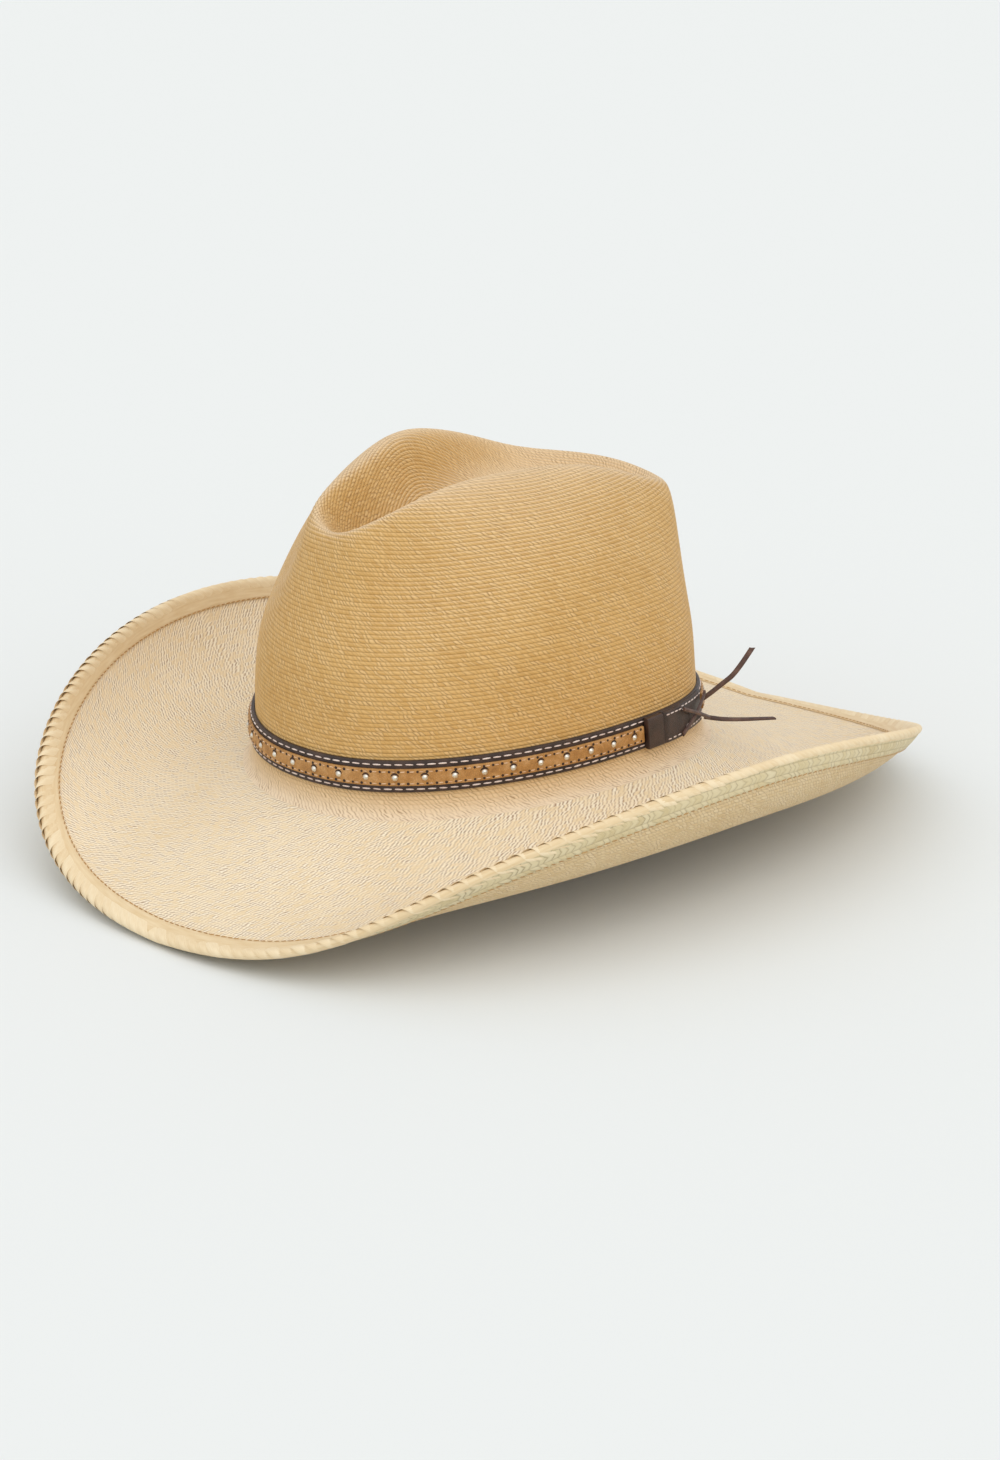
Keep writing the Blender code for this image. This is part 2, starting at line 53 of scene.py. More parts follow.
LOG = logging.getLogger("western_hat")
MM = 0.001
TURN = 2.0 * math.pi
COURSE_UV = "courses"           # U counts straws along a course, V counts courses
STRAP_UV = "strap_mm"           # millimetres along and around a strap
TONE = "tone"                   # a number from 0 to 1 held by each repeated piece


class Body(Enum):
    """The two CAD bodies that pieces ride on."""

    HAT = "hat"
    BAND = "band"


class Weave(Enum):
    """How the straws of one plait course lie."""

    TWILL = "twill"             # all one way
    CHEVRON = "chevron"         # turning back at the middle, as a herringbone


# ---------------------------------------------------------------- nodes and meshes

def linear(code: str) -> tuple[float, float, float, float]:
    """Turn an sRGB hex code into the linear colour that shaders take.

    Args:
        code: Six hex digits after a hash sign.

    Returns:
        Red, green, blue and an alpha of 1.
    """
    shares = [int(code[i:i + 2], 16) / 255.0 for i in (1, 3, 5)]
    red, green, blue = (c / 12.92 if c <= 0.04045 else ((c + 0.055) / 1.055) ** 2.4
                        for c in shares)
    return red, green, blue, 1.0


def add_node(tree: Tree, kind: str, inputs: dict | None = None, **settings: object) -> Node:
    """Add one node with its settings, values and links.

    Args:
        tree: The tree that the node joins.
        kind: The node's type name.
        inputs: Socket name or number, to a value, an output socket, or a node whose first
            working output is taken.
        settings: The node's own properties.

    Returns:
        The new node.
    """
    node = tree.nodes.new(kind)
    for name, value in settings.items():
        setattr(node, name, value)
    for key, value in (inputs or {}).items():
        if isinstance(value, Node):
            value = next(out for out in value.outputs if out.enabled)
        if isinstance(value, Socket):
            tree.links.new(value, node.inputs[key])
        else:
            node.inputs[key].default_value = value
    return node


def calc(tree: Tree, operation: str, *values: object, use_clamp: bool = False) -> Node:
    """Add one arithmetic node.

    Args:
        tree: The tree that the node joins.
        operation: What it works out, as Blender names it.
        values: Its inputs in order, as add_node takes them.
        use_clamp: Whether the result is held between 0 and 1.

    Returns:
        The new node.
    """
    return add_node(tree, "ShaderNodeMath", dict(enumerate(values)), operation=operation,
                    use_clamp=use_clamp)


def colour_ramp(tree: Tree, value: Node, stops: tuple[tuple[float, str], ...]) -> Socket:
    """Add a colour ramp.

    Args:
        tree: The tree that the ramp joins.
        value: The number that picks the colour.
        stops: Place and hex code of each colour, in order.

    Returns:
        The ramp's colour.
    """
    ramp = add_node(tree, "ShaderNodeValToRGB", {0: value})
    elements = ramp.color_ramp.elements
    elements[1].position = stops[-1][0]
    for place, _ in stops[1:-1]:
        elements.new(place)
    for element, (place, code) in zip(elements, stops):
        element.position, element.color = place, linear(code)
    return ramp.outputs["Color"]


class Finish:
    """A finish that builds its own node material."""

    name: str

    def material(self) -> Material:
        """Build the node material.

        Returns:
            The material.
        """
        material = bpy.data.materials.new(self.name)
        material.use_nodes = True
        tree = material.node_tree
        tree.nodes.clear()
        add_node(tree, "ShaderNodeOutputMaterial", {"Surface": self.shader(tree)})
        return material

    def shader(self, tree: Tree) -> Node:
        """Add the nodes of the finish and give back its last shader."""
        raise NotImplementedError


def patch_faces(columns: int, rows: int, first: int, wrap_rows: bool = False) -> Array:
    """Quads of a patch that closes around its columns.

    Args:
        columns: Number of stations around.
        rows: Number of points in each station.
        first: Index of the patch's first vertex; a station's points follow each other.
        wrap_rows: Whether the last row joins the first.

    Returns:
        Vertex indices, shaped (quads, 4), station by station.
    """
    last = rows if wrap_rows else rows - 1
    i, k = np.meshgrid(np.arange(columns), np.arange(last), indexing="ij")
    j, m = (i + 1) % columns, (k + 1) % rows
    quads = np.stack([i * rows + k, j * rows + k, j * rows + m, i * rows + m], axis=-1)
    return quads.reshape(-1, 4) + first


def patch_uv(u: Array, v: Array, counts: Array, offsets: Array) -> Array:
    """Corner coordinates of a patch whose courses each hold their own number of straws.

    Args:
        u: Share of the way around at each station, one more than there are stations.
        v: Course coordinate of each row.
        counts: Straws in each course.
        offsets: Phase of each course.

    Returns:
        Coordinates shaped (quads, 4, 2), in the order of patch_faces.
    """
    low, high = v[:-1], v[1:]
    course = np.clip(np.floor(0.5 * (low + high)).astype(int), 0, len(counts) - 1)
    count, phase = counts[course], offsets[course]
    corners = np.zeros((len(u) - 1, len(low), 4, 2))
    for corner, (share, row) in enumerate(((u[:-1], low), (u[1:], low),
                                           (u[1:], high), (u[:-1], high))):
        corners[:, :, corner, 0] = share[:, None] * count + phase
        corners[:, :, corner, 1] = row
    return corners.reshape(-1, 4, 2)


def finished(name: str, mesh: Mesh, material: Material, body: Body, nodes: tuple[str, ...] = ()) -> Piece:
    """Put a mesh into the scene as a finished piece.

    Args:
        name: The piece's name.
        mesh: Its mesh, in the row frame.
        material: Its finish.
        body: The body it rides on.
        nodes: CAD nodes that it stands for.

    Returns:
        The piece.
    """
    mesh.materials.clear()
    mesh.materials.append(material)
    mesh.shade_smooth()
    piece = bpy.data.objects.new(name, mesh)
    bpy.context.scene.collection.objects.link(piece)
    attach(piece, body.value)
    if nodes:
        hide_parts(*nodes)
    LOG.info("%s: %d faces on %s", name, len(mesh.polygons), body.value)
    return piece


def sheet_mesh(name: str, vertices: Array, faces: list, corner_uv: Array, layer: str) -> Mesh:
    """Make a mesh from arrays, with one coordinate for each corner.

    Args:
        name: The mesh's name.
        vertices: Points shaped (n, 3).
        faces: Index lists.
        corner_uv: Coordinates of the faces' corners in their order, shaped (corners, 2).
        layer: Name of the coordinate layer.

    Returns:
        The mesh.
    """
    mesh = bpy.data.meshes.new(name)
    mesh.from_pydata(vertices.tolist(), [], faces)
    uv = mesh.uv_layers.new(name=layer)
    uv.data.foreach_set("uv", corner_uv.astype(np.float32).ravel())
    mesh.set_sharp_from_angle(angle=math.radians(60.0))
    return mesh


def turn_outward(mesh: Mesh) -> Mesh:
    """Make the faces of a closed mesh look out.

    Args:
        mesh: The mesh to change.

    Returns:
        The same mesh.
    """
    shape = bmesh.new()
    shape.from_mesh(mesh)
    bmesh.ops.recalc_face_normals(shape, faces=shape.faces)
    if shape.calc_volume(signed=True) < 0.0:
        bmesh.ops.reverse_faces(shape, faces=shape.faces)
    shape.to_mesh(mesh)
    shape.free()
    return mesh


def swept_mesh(name: str, sections: Array, closed: bool) -> Mesh:
    """Closed solid through section loops, with coordinates in millimetres.

    Args:
        name: The mesh's name.
        sections: Points shaped (stations, corners, 3).
        closed: Whether the last station joins the first.

    Returns:
        The mesh, with strap coordinates along and around it.
    """
    stations, corners = sections.shape[:2]
    loop = np.concatenate([sections, sections[:1]]) if closed else sections
    u = lengths(loop.mean(axis=1)) / MM
    v = lengths(np.concatenate([sections[0], sections[0][:1]])) / MM
    faces, uv = [], []
    for i in range(len(u) - 1):
        j = (i + 1) % stations
        for k in range(corners):
            m = (k + 1) % corners
            faces.append((i * corners + k, i * corners + m, j * corners + m, j * corners + k))
            uv += [(u[i], v[k]), (u[i], v[k + 1]), (u[i + 1], v[k + 1]), (u[i + 1], v[k])]
    if not closed:
        for i, end in ((0, u[0]), (stations - 1, u[-1])):
            faces.append([i * corners + k for k in range(corners)])
            uv += [(end, v[k]) for k in range(corners)]
    mesh = sheet_mesh(name, sections.reshape(-1, 3), faces, np.array(uv), STRAP_UV)
    return turn_outward(mesh)


def strap_section(low: float, high: float, inner: float, outer: float, radius: float,
                  crown: float = 0.0, steps: int = 3, across: int = 6) -> Array:
    """Rounded section of a flat strap that lies on the crown wall.

    Args:
        low: Lower edge, as a height above the break.
        high: Upper edge.
        inner: Distance of the inner face outside the wall.
        outer: Distance of the outer face at its edges.
        radius: Rounding of the two outer corners.
        crown: How far the middle of the outer face swells.
        steps: Spans in each rounded corner.
        across: Spans across the outer face.

    Returns:
        Heights and distances shaped (corners, 2).
    """
    bend = np.linspace(0.0, 0.5 * math.pi, steps + 1)
    points = [(low, inner)]
    points += [(low + radius * (1.0 - math.sin(b)), outer - radius * (1.0 - math.cos(b)))
               for b in bend[::-1]]
    points += [(low + radius + (high - low - 2.0 * radius) * s,
                outer + crown * math.sin(math.pi * s))
               for s in np.linspace(0.0, 1.0, across + 1)[1:-1]]
    points += [(high - radius * (1.0 - math.sin(b)), outer - radius * (1.0 - math.cos(b)))
               for b in bend]
    points.append((high, inner))
    return np.array(points)


def smooth_route(route: Array, samples: int) -> Array:
    """Even points on a Catmull-Rom curve through a route.

    Args:
        route: Points shaped (n, 3).
        samples: How many points to give back.

    Returns:
        Points shaped (samples, 3).
    """
    ends = [2.0 * route[:1] - route[1:2], 2.0 * route[-1:] - route[-2:-1]]
    cage = np.concatenate([ends[0], route, ends[1]])
    t = np.linspace(0.0, 1.0, 13)[:-1, None]
    dense = [0.5 * (2 * b + (c - a) * t + (2 * a - 5 * b + 4 * c - d) * t ** 2
                    + (3 * b - a - 3 * c + d) * t ** 3)
             for a, b, c, d in zip(cage, cage[1:], cage[2:], cage[3:])]
    line = np.concatenate(dense + [route[-1:]])
    length = lengths(line)
    return on_line(np.linspace(0.0, length[-1], samples), length, line)


def unit(vectors: Array) -> Array:
    """Vectors scaled to length one."""
    return vectors / np.maximum(np.linalg.norm(vectors, axis=-1, keepdims=True), 1e-12)


def lengths(line: Array) -> Array:
    """Distance along a line at each of its points."""
    return np.concatenate([[0.0], np.cumsum(np.linalg.norm(np.diff(line, axis=0), axis=1))])


def on_line(wanted: Array, length: Array, line: Array) -> Array:
    """Points of a line at wanted distances along it."""
    return np.stack([np.interp(wanted, length, line[:, axis]) for axis in range(3)], axis=1)


def girths(rings: Array) -> Array:
    """Length around each closed ring of points shaped (stations, rings, 3)."""
    return np.linalg.norm(np.roll(rings, -1, axis=0) - rings, axis=2).sum(axis=0)


def b_spline(cage: tuple[Array, ...], t: Array) -> Array:
    """Point of a cubic B-spline span with four control points, at t from 0 to 1."""
    before, start, end, after = cage
    return ((1 - t) ** 3 * before + (3 * t ** 3 - 6 * t ** 2 + 4) * start
            + (-3 * t ** 3 + 3 * t ** 2 + 3 * t + 1) * end + t ** 3 * after) / 6.0


def smoothstep(value: Array, low: float, high: float) -> Array:
    """Smooth rise from 0 at low to 1 at high."""
    t = np.clip((value - low) / (high - low), 0.0, 1.0)
    return t * t * (3.0 - 2.0 * t)


# ---------------------------------------------------------------- repeated pieces

class Repeater:
    """Geometry Nodes tree that sets one small shape on every point of a row."""

    INPUTS = (("Geometry", "NodeSocketGeometry"), ("Shape", "NodeSocketObject"),
              ("Size Jitter", "NodeSocketFloat"), ("Turn Jitter", "NodeSocketFloat"),
              ("Seed", "NodeSocketInt"), ("Finish", "NodeSocketMaterial"))

    def __init__(self) -> None:
        """Build the tree once, for every row to share."""
        self.tree = bpy.data.node_groups.new("repeat_along_row", "GeometryNodeTree")
        for name, kind in self.INPUTS:
            self.tree.interface.new_socket(name, in_out="INPUT", socket_type=kind)
        self.tree.interface.new_socket("Geometry", in_out="OUTPUT",
                                       socket_type="NodeSocketGeometry")
        self._build()

    def _build(self) -> None:
        """Fill the tree: place, turn, vary, realise and set the finish."""
        tree = self.tree
        given = add_node(tree, "NodeGroupInput").outputs
        face, along = (add_node(tree, "GeometryNodeInputNamedAttribute", {"Name": name},
                                data_type="FLOAT_VECTOR") for name in ("face", "along"))
        least = calc(tree, "MULTIPLY", given["Turn Jitter"], -1.0)
        angle = add_node(tree, "FunctionNodeRandomValue", {
            2: least, 3: given["Turn Jitter"], "Seed": given["Seed"]}, data_type="FLOAT")
        turned = add_node(tree, "ShaderNodeVectorRotate", {
            "Vector": along, "Axis": face, "Angle": angle.outputs[1]},
            rotation_type="AXIS_ANGLE")
        facing = add_node(tree, "FunctionNodeAxesToRotation", {0: face, 1: turned},
                          primary_axis="Z", secondary_axis="X")
        small = calc(tree, "SUBTRACT", 1.0, given["Size Jitter"])
        large = calc(tree, "ADD", 1.0, given["Size Jitter"])
        size = add_node(tree, "FunctionNodeRandomValue", {
            2: small, 3: large, "Seed": given["Seed"]}, data_type="FLOAT")
        shape = add_node(tree, "GeometryNodeObjectInfo", {"Object": given["Shape"]},
                         transform_space="ORIGINAL")
        placed = add_node(tree, "GeometryNodeInstanceOnPoints", {
            "Points": given["Geometry"], "Instance": shape.outputs["Geometry"],
            "Rotation": facing, "Scale": size.outputs[1]})
        tone = add_node(tree, "FunctionNodeRandomValue", {
            2: 0.0, 3: 1.0, "Seed": given["Seed"]}, data_type="FLOAT")
        toned = add_node(tree, "GeometryNodeStoreNamedAttribute", {
            "Geometry": placed, "Name": TONE, "Value": tone.outputs[1]},
            data_type="FLOAT", domain="INSTANCE")
        real = add_node(tree, "GeometryNodeRealizeInstances", {"Geometry": toned})
        dressed = add_node(tree, "GeometryNodeSetMaterial", {
            "Geometry": real, "Material": given["Finish"]})
        add_node(tree, "NodeGroupOutput", {"Geometry": dressed})

    def row(self, name: str, shape: Mesh, places: Array, along: Array, face: Array,
            material: Material, seed: int, size_jitter: float = 0.0,
            turn_jitter: float = 0.0) -> Mesh:
        """Set a shape on every place and give back one plain mesh.

        Args:
            name: Name of the new mesh.
            shape: The small shape, with X along the row and Z out of the surface.
            places: Points shaped (n, 3).
            along: Direction of the row at each place.
            face: Outward direction at each place.
            material: The finish.
            seed: Seed of the small differences.
            size_jitter: Largest change of size, as a share.
            turn_jitter: Largest turn about the outward direction, in radians.

        Returns:
            The realised mesh.
        """
        points = bpy.data.meshes.new(name + "_places")
        points.from_pydata(places.tolist(), [], [])
        for label, values in (("along", along), ("face", face)):
            held = points.attributes.new(label, "FLOAT_VECTOR", "POINT")
            held.data.foreach_set("vector", values.astype(np.float32).ravel())
        template = bpy.data.objects.new(name + "_shape", shape)
        carrier = bpy.data.objects.new(name + "_row", points)
        for item in (template, carrier):
            bpy.context.scene.collection.objects.link(item)
        modifier = carrier.modifiers.new("repeat", "NODES")
        modifier.node_group = self.tree
        keys = {item.name: item.identifier for item in self.tree.interface.items_tree
                if item.in_out == "INPUT"}
        for label, value in (("Shape", template), ("Size Jitter", size_jitter),
                             ("Turn Jitter", turn_jitter), ("Seed", seed),
                             ("Finish", material)):
            modifier[keys[label]] = value
        carrier.update_tag()
        graph = bpy.context.evaluated_depsgraph_get()
        graph.update()
        mesh = bpy.data.meshes.new_from_object(carrier.evaluated_get(graph))
        mesh.name = name
        for item in (carrier, template):
            bpy.data.objects.remove(item, do_unlink=True)
        return mesh


class SmallShapes:
    """The small shapes that are repeated along rows, each facing +Z with its length on X."""

    @staticmethod
    def _mesh(name: str, shape: bmesh.types.BMesh) -> Mesh:
        """Turn an edited shape into a smooth mesh."""
        mesh = bpy.data.meshes.new(name)
        shape.to_mesh(mesh)
        shape.free()
        mesh.shade_smooth()
        return mesh

    @staticmethod
    def lens(length: float, width: float, height: float, around: int = 8, up: int = 4,
             power: float = 0.7) -> Mesh:
        """A rounded stitch or grain of thread, half above and half below its place.

        Args:
            length: Size along the row.
            width: Size across the row.
            height: Full thickness.
            around: Sides.
            up: Rings from end to end.
            power: Below 1 the ends are blunter.

        Returns:
            The mesh.
        """
        shape = bmesh.new()
        bmesh.ops.create_uvsphere(shape, u_segments=around, v_segments=up, radius=1.0)
        for vertex in shape.verts:
            x, y, z = vertex.co.z, vertex.co.x, vertex.co.y
            reach = math.copysign(abs(x) ** power, x)
            vertex.co = (0.5 * length * reach, 0.5 * width * y, 0.5 * height * z)
        bmesh.ops.recalc_face_normals(shape, faces=shape.faces)
        return SmallShapes._mesh("stitch_shape", shape)

    @staticmethod
    def turned(profile: tuple[tuple[float, float], ...], sides: int) -> Mesh:
        """A small turned shape such as a stud.

        Args:
            profile: Radius and height from the foot to the top, which has radius 0.
            sides: Sides around.

        Returns:
            The closed mesh.
        """
        shape = bmesh.new()
        rings = []
        for radius, height in profile[:-1]:
            rings.append([shape.verts.new((radius * math.cos(TURN * k / sides),
                                           radius * math.sin(TURN * k / sides), height))
                          for k in range(sides)])
        top = shape.verts.new((0.0, 0.0, profile[-1][1]))
        for lower, upper in zip(rings, rings[1:]):
            for k in range(sides):
                m = (k + 1) % sides
                shape.faces.new((lower[k], lower[m], upper[m], upper[k]))
        for k in range(sides):
            shape.faces.new((rings[-1][k], rings[-1][(k + 1) % sides], top))
        shape.faces.new(rings[0][::-1])
        return SmallShapes._mesh("turned_shape", shape)

    @staticmethod
    def crescent(radius: float, width: float, height: float, start: float, end: float,
                 steps: int = 8) -> Mesh:
        """A thin crescent ridge around part of a circle, thickest at its middle.

        Args:
            radius: Radius of its middle line.
            width: Greatest width.
            height: Greatest height.
            start: First angle in degrees, from +X.
            end: Last angle.
            steps: Spans along it.

        Returns:
            The closed mesh.
        """
        angles = np.radians(np.linspace(start, end, steps + 1))
        full = 0.15 + 0.85 * np.sin(np.linspace(0.0, math.pi, steps + 1))
        sections = []
        for angle, share in zip(angles, full):
            out = np.array([math.cos(angle), math.sin(angle), 0.0])
            sections.append([out * (radius - 0.5 * width * share),
                             out * radius + (0.0, 0.0, height * share),
                             out * (radius + 0.5 * width * share),
                             out * radius - (0.0, 0.0, 0.5 * height)])
        return swept_mesh("crescent_shape", np.array(sections), False)

    @staticmethod
    def wrap(pitch: float, leaf: float, slant: float, half: float, swell: float,
             crown: float) -> Mesh:
        """One flat straw of the whipping, laid on the fold and bent over the brim's edge.

        Args:
            pitch: Distance from one straw to the next.
            leaf: How far its upper end reaches in from the edge.
            slant: How far the straw moves along the edge from end to end.
            half: Half the thickness that it passes round.
            swell: How far its turn stands out of the edge.
            crown: How far its middle stands proud of its sides.

        Returns:
            The closed mesh, with Y pointing out of the brim.
        """
        turn = np.linspace(0.0, math.pi, 9)
        path = [(-leaf, 0.86 * half), (-0.75 * leaf, half)]
        path += [(swell * math.sin(a), half * math.cos(a)) for a in turn]
        path += [(-0.6 * MM, -0.86 * half)]
        path = np.array(path)
        step = np.gradient(path, axis=0)
        side = unit(np.column_stack([-step[:, 1], step[:, 0]]))
        length = lengths(path)
        share = length / length[-1] - 0.5
        sections = []
        for k, (out, up) in enumerate(path):
            taper = 0.9 if k in (0, len(path) - 1) else 1.0
            loop = []
            for across, lift in ((-0.5, -0.1), (-0.47, 0.45), (-0.2, 0.95), (0.1, 1.0),
                                 (0.46, 0.6), (0.5, -0.1)):
                x = 1.07 * pitch * across * taper + slant * share[k]
                loop.append((x, out + side[k, 0] * crown * lift * taper,
                             up + side[k, 1] * crown * lift * taper))
            sections.append(loop)
        return swept_mesh("wrap_shape", np.array(sections), False)


# ---------------------------------------------------------------- shape of the hat

@dataclass(frozen=True)
class HatForm:
    """The blocked shape of the straw body, in metres and degrees."""

    half_width: float = 86.5 * MM
    half_length: float = 102.8 * MM
    egg: float = 0.09
    squareness: float = 2.2
    shift_y: float = -4.2 * MM
    height: float = 38.5 * MM
    saddle: float = 2.4 * MM
    tilt: float = 3.1 * MM
    straw: float = 2.4 * MM
    foot: float = 6.0 * MM
    brim_front: float = 92.0 * MM
    brim_side: float = 105.9 * MM
    brim_back: float = 98.4 * MM
    start_slope: tuple[float, float, float] = (-22.0, -22.0, -21.1)
    edge_slope: tuple[float, float, float] = (89.0, -26.6, -14.3)
    roll_front: tuple[float, float] = (32.1, 19.3)
    roll_back: tuple[float, float] = (36.0, 29.9)
    curl_side: float = 1.65
    curl_ends: float = 3.0
    crest: tuple[tuple[float, float, float], ...] = (
        (0.0, -84.4, 109.7), (20.3, -77.3, 119.6), (25.6, -42.8, 129.6), (43.3, -1.1, 133.7),
        (49.1, 40.8, 123.4), (51.4, 84.0, 103.9), (0.0, 101.0, 107.0))
    hollow_y: tuple[float, float] = (-46.0 * MM, 52.0 * MM)
    hollow_z: tuple[float, float] = (88.0 * MM, 101.0 * MM)
    hollow_half: float = 8.0 * MM
    lean: tuple[float, float, float] = (0.05, 0.02, 0.085)
    wall_turn: float = 0.50
    fullness: float = 9.0 * MM
    pinch_depth: float = 9.0 * MM
    pinch_angle: float = 40.0
    pinch_spread: float = 17.0

    def oval(self, phi: Array) -> Array:
        """Plan position of the break line at each angle."""
        sine, cosine = np.sin(phi), np.cos(phi)
        power = 2.0 / self.squareness
        x = self.half_width * np.sign(sine) * np.abs(sine) ** power * (1.0 - self.egg * cosine)
        y = -self.half_length * np.sign(cosine) * np.abs(cosine) ** power + self.shift_y
        return np.stack([x, y], axis=-1)

    def outward(self, phi: Array) -> Array:
        """Unit plan normal of the break line at each angle."""
        step = 1e-3
        tangent = unit(self.oval(phi + step) - self.oval(phi - step))
        return np.stack([tangent[..., 1], -tangent[..., 0]], axis=-1)

    def level(self, phi: Array) -> Array:
        """Height of the break line at each angle."""
        return self.height - self.saddle * np.cos(2.0 * phi) + self.tilt * np.cos(phi)

    @staticmethod
    def mix(phi: Array, side: float, front: float, back: float) -> Array:
        """A value that is side at both sides and runs smoothly to front and back."""
        share = np.sin(phi) ** 2
        ends = 0.5 * (1.0 + np.cos(phi)) * front + 0.5 * (1.0 - np.cos(phi)) * back
        return share * side + (1.0 - share) * ends

    @staticmethod
    def turn(phi: Array) -> Array:
        """Degrees away from the front, from 0 to 180."""
        return np.degrees(np.abs((phi + math.pi) % TURN - math.pi))

    def brim_width(self, phi: Array) -> Array:
        """Width of the brim along its own surface."""
        return self.mix(phi, self.brim_side, self.brim_front, self.brim_back)

    def brim_points(self, phi: Array, distances: Array, steps: int = 192) -> Array:
        """Upper face of the brim.

        Args:
            phi: Angles, shaped (n,).
            distances: Distances out from the break, shaped (n, m).
            steps: Spans of the profile that is followed.

        Returns:
            Points shaped (n, m, 3).
        """
        turn = self.turn(phi)
        front = 0.5 * (1.0 + np.tanh((turn - self.roll_front[0]) / self.roll_front[1]))
        back = 0.5 * (1.0 + np.tanh((180.0 - turn - self.roll_back[0]) / self.roll_back[1]))
        rolled = front * back
        share = 0.5 * (1.0 + np.cos(phi))
        flat = share * self.edge_slope[1] + (1.0 - share) * self.edge_slope[2]
        edge = np.radians(rolled * self.edge_slope[0] + (1.0 - rolled) * flat)
        start = np.radians(self.mix(phi, *self.start_slope))
        curl = self.mix(phi, self.curl_side, self.curl_ends, self.curl_ends)
        width = self.brim_width(phi)
        middle = (np.arange(steps) + 0.5) / steps
        slope = start[:, None] + (edge - start)[:, None] * middle[None, :] ** curl[:, None]
        zero = np.zeros((len(phi), 1))
        run = np.hstack([zero, np.cumsum(np.cos(slope), axis=1)]) * width[:, None] / steps
        rise = np.hstack([zero, np.cumsum(np.sin(slope), axis=1)]) * width[:, None] / steps
        oval, normal, level = self.oval(phi), self.outward(phi), self.level(phi)
        points = np.zeros(distances.shape + (3,))
        for i, wanted in enumerate(distances):
            along = np.linspace(0.0, width[i], steps + 1)
            out = np.interp(wanted, along, run[i])
            points[i, :, :2] = oval[i] + normal[i] * out[:, None]
            points[i, :, 2] = level[i] + np.interp(wanted, along, rise[i])
        return points

    def crest_points(self, phi: Array) -> Array:
        """Crest of the teardrop crease at each angle."""
        half = np.array(self.crest) * MM
        cage = np.vstack([half, half[-2:0:-1] * np.array([-1.0, 1.0, 1.0])])
        count = len(cage)
        place = (phi / TURN * count) % count
        cell = np.floor(place).astype(int)
        t = (place - cell)[:, None]
        crest = b_spline(tuple(cage[(cell + k) % count] for k in (-1, 0, 1, 2)), t)
        return crest + np.array([0.0, self.shift_y, self.height])

    def crown_profile(self, phi: Array, samples: int) -> Array:
        """Outer face of the crown from its foot over the crest to the middle of the hollow.

        Args:
            phi: Angles, shaped (n,).
            samples: Points along each profile.

        Returns:
            Points shaped (n, samples, 3).
        """
        cage = self._crown_cage(phi)
        ends = [2 * cage[:, :1] - cage[:, 1:2], 2 * cage[:, -1:] - cage[:, -2:-1]]
        spans = cage.shape[1] - 1
        cage = np.concatenate([ends[0], cage, ends[1]], axis=1)
        place = np.linspace(0.0, spans, samples)
        cell = np.minimum(np.floor(place).astype(int), spans - 1)
        t = (place - cell)[:, None]
        return b_spline(tuple(cage[:, cell + k] for k in range(4)), t)

    def _crown_cage(self, phi: Array) -> Array:
        """Control points of the crown's profiles."""
        normal = np.column_stack([self.outward(phi), np.zeros(len(phi))])
        up = np.array([0.0, 0.0, 1.0])
        foot = self.brim_points(phi, np.tile([self.foot, 0.35 * self.foot], (len(phi), 1)))
        oval = np.column_stack([self.oval(phi), self.level(phi)])
        crest = self.crest_points(phi)
        rise = (crest - oval)[:, 2]
        lean = self.mix(phi, *self.lean)

        def wall(height: Array) -> Array:
            """Point on the straight wall at a height above the break."""
            return oval - normal * (lean * height)[:, None] + up * height[:, None]

        middle = wall(self.wall_turn * rise)
        dent = np.exp(-((self.turn(phi) - self.pinch_angle) / self.pinch_spread) ** 2)
        push = self.fullness * np.sin(phi) ** 2 - self.pinch_depth * dent
        shoulder = middle + 0.60 * (crest - middle) + normal * push[:, None]
        toward = 0.5 * (1.0 - np.cos(phi))
        floor = np.zeros((len(phi), 3))
        floor[:, 0] = self.hollow_half * np.sin(phi)
        floor[:, 1] = self.hollow_y[0] + (self.hollow_y[1] - self.hollow_y[0]) * toward
        floor[:, 2] = self.hollow_z[0] + (self.hollow_z[1] - self.hollow_z[0]) * toward
        floor += np.array([0.0, self.shift_y, self.height])
        lip = crest + 0.30 * (floor - crest)
        lip[:, 2] -= 0.06 * rise
        bowl = crest + 0.72 * (floor - crest)
        bowl[:, 2] = floor[:, 2] + 0.12 * (crest[:, 2] - floor[:, 2])
        near = crest + 0.85 * ((6.0 * crest - shoulder - lip) / 4.0 - crest)
        centre = np.tile([0.0, self.shift_y, self.height + 0.5 * sum(self.hollow_z)],
                         (len(phi), 1))
        low, band = (wall(np.full(len(phi), h)) for h in (9.0 * MM, 26.0 * MM))
        rows = (foot[:, 0], foot[:, 1], low, band, middle, shoulder, near, lip, bowl, floor,
                centre)
        return np.stack(rows, axis=1)

    def wall(self, phi: Array, heights: Array, distances: Array) -> Array:
        """Points near the crown's wall.

        Args:
            phi: Angles, shaped (n,).
            heights: Heights above the break, shaped (n, m) or (m,).
            distances: Distances outside the wall, shaped (n, m) or (m,).

        Returns:
            Points shaped (n, m, 3).
        """
        profile = self.crown_profile(phi, 161)[:, 12:80]
        oval, normal, level = self.oval(phi), self.outward(phi), self.level(phi)
        heights = np.broadcast_to(heights, (len(phi), np.shape(heights)[-1]))
        distances = np.broadcast_to(distances, heights.shape)
        points = np.zeros(heights.shape + (3,))
        for i in range(len(phi)):
            out = (profile[i, :, :2] - oval[i]) @ normal[i]
            reach = np.interp(heights[i], profile[i, :, 2] - level[i], out) + distances[i]
            points[i, :, :2] = oval[i] + normal[i] * reach[:, None]
            points[i, :, 2] = level[i] + heights[i]
        return points

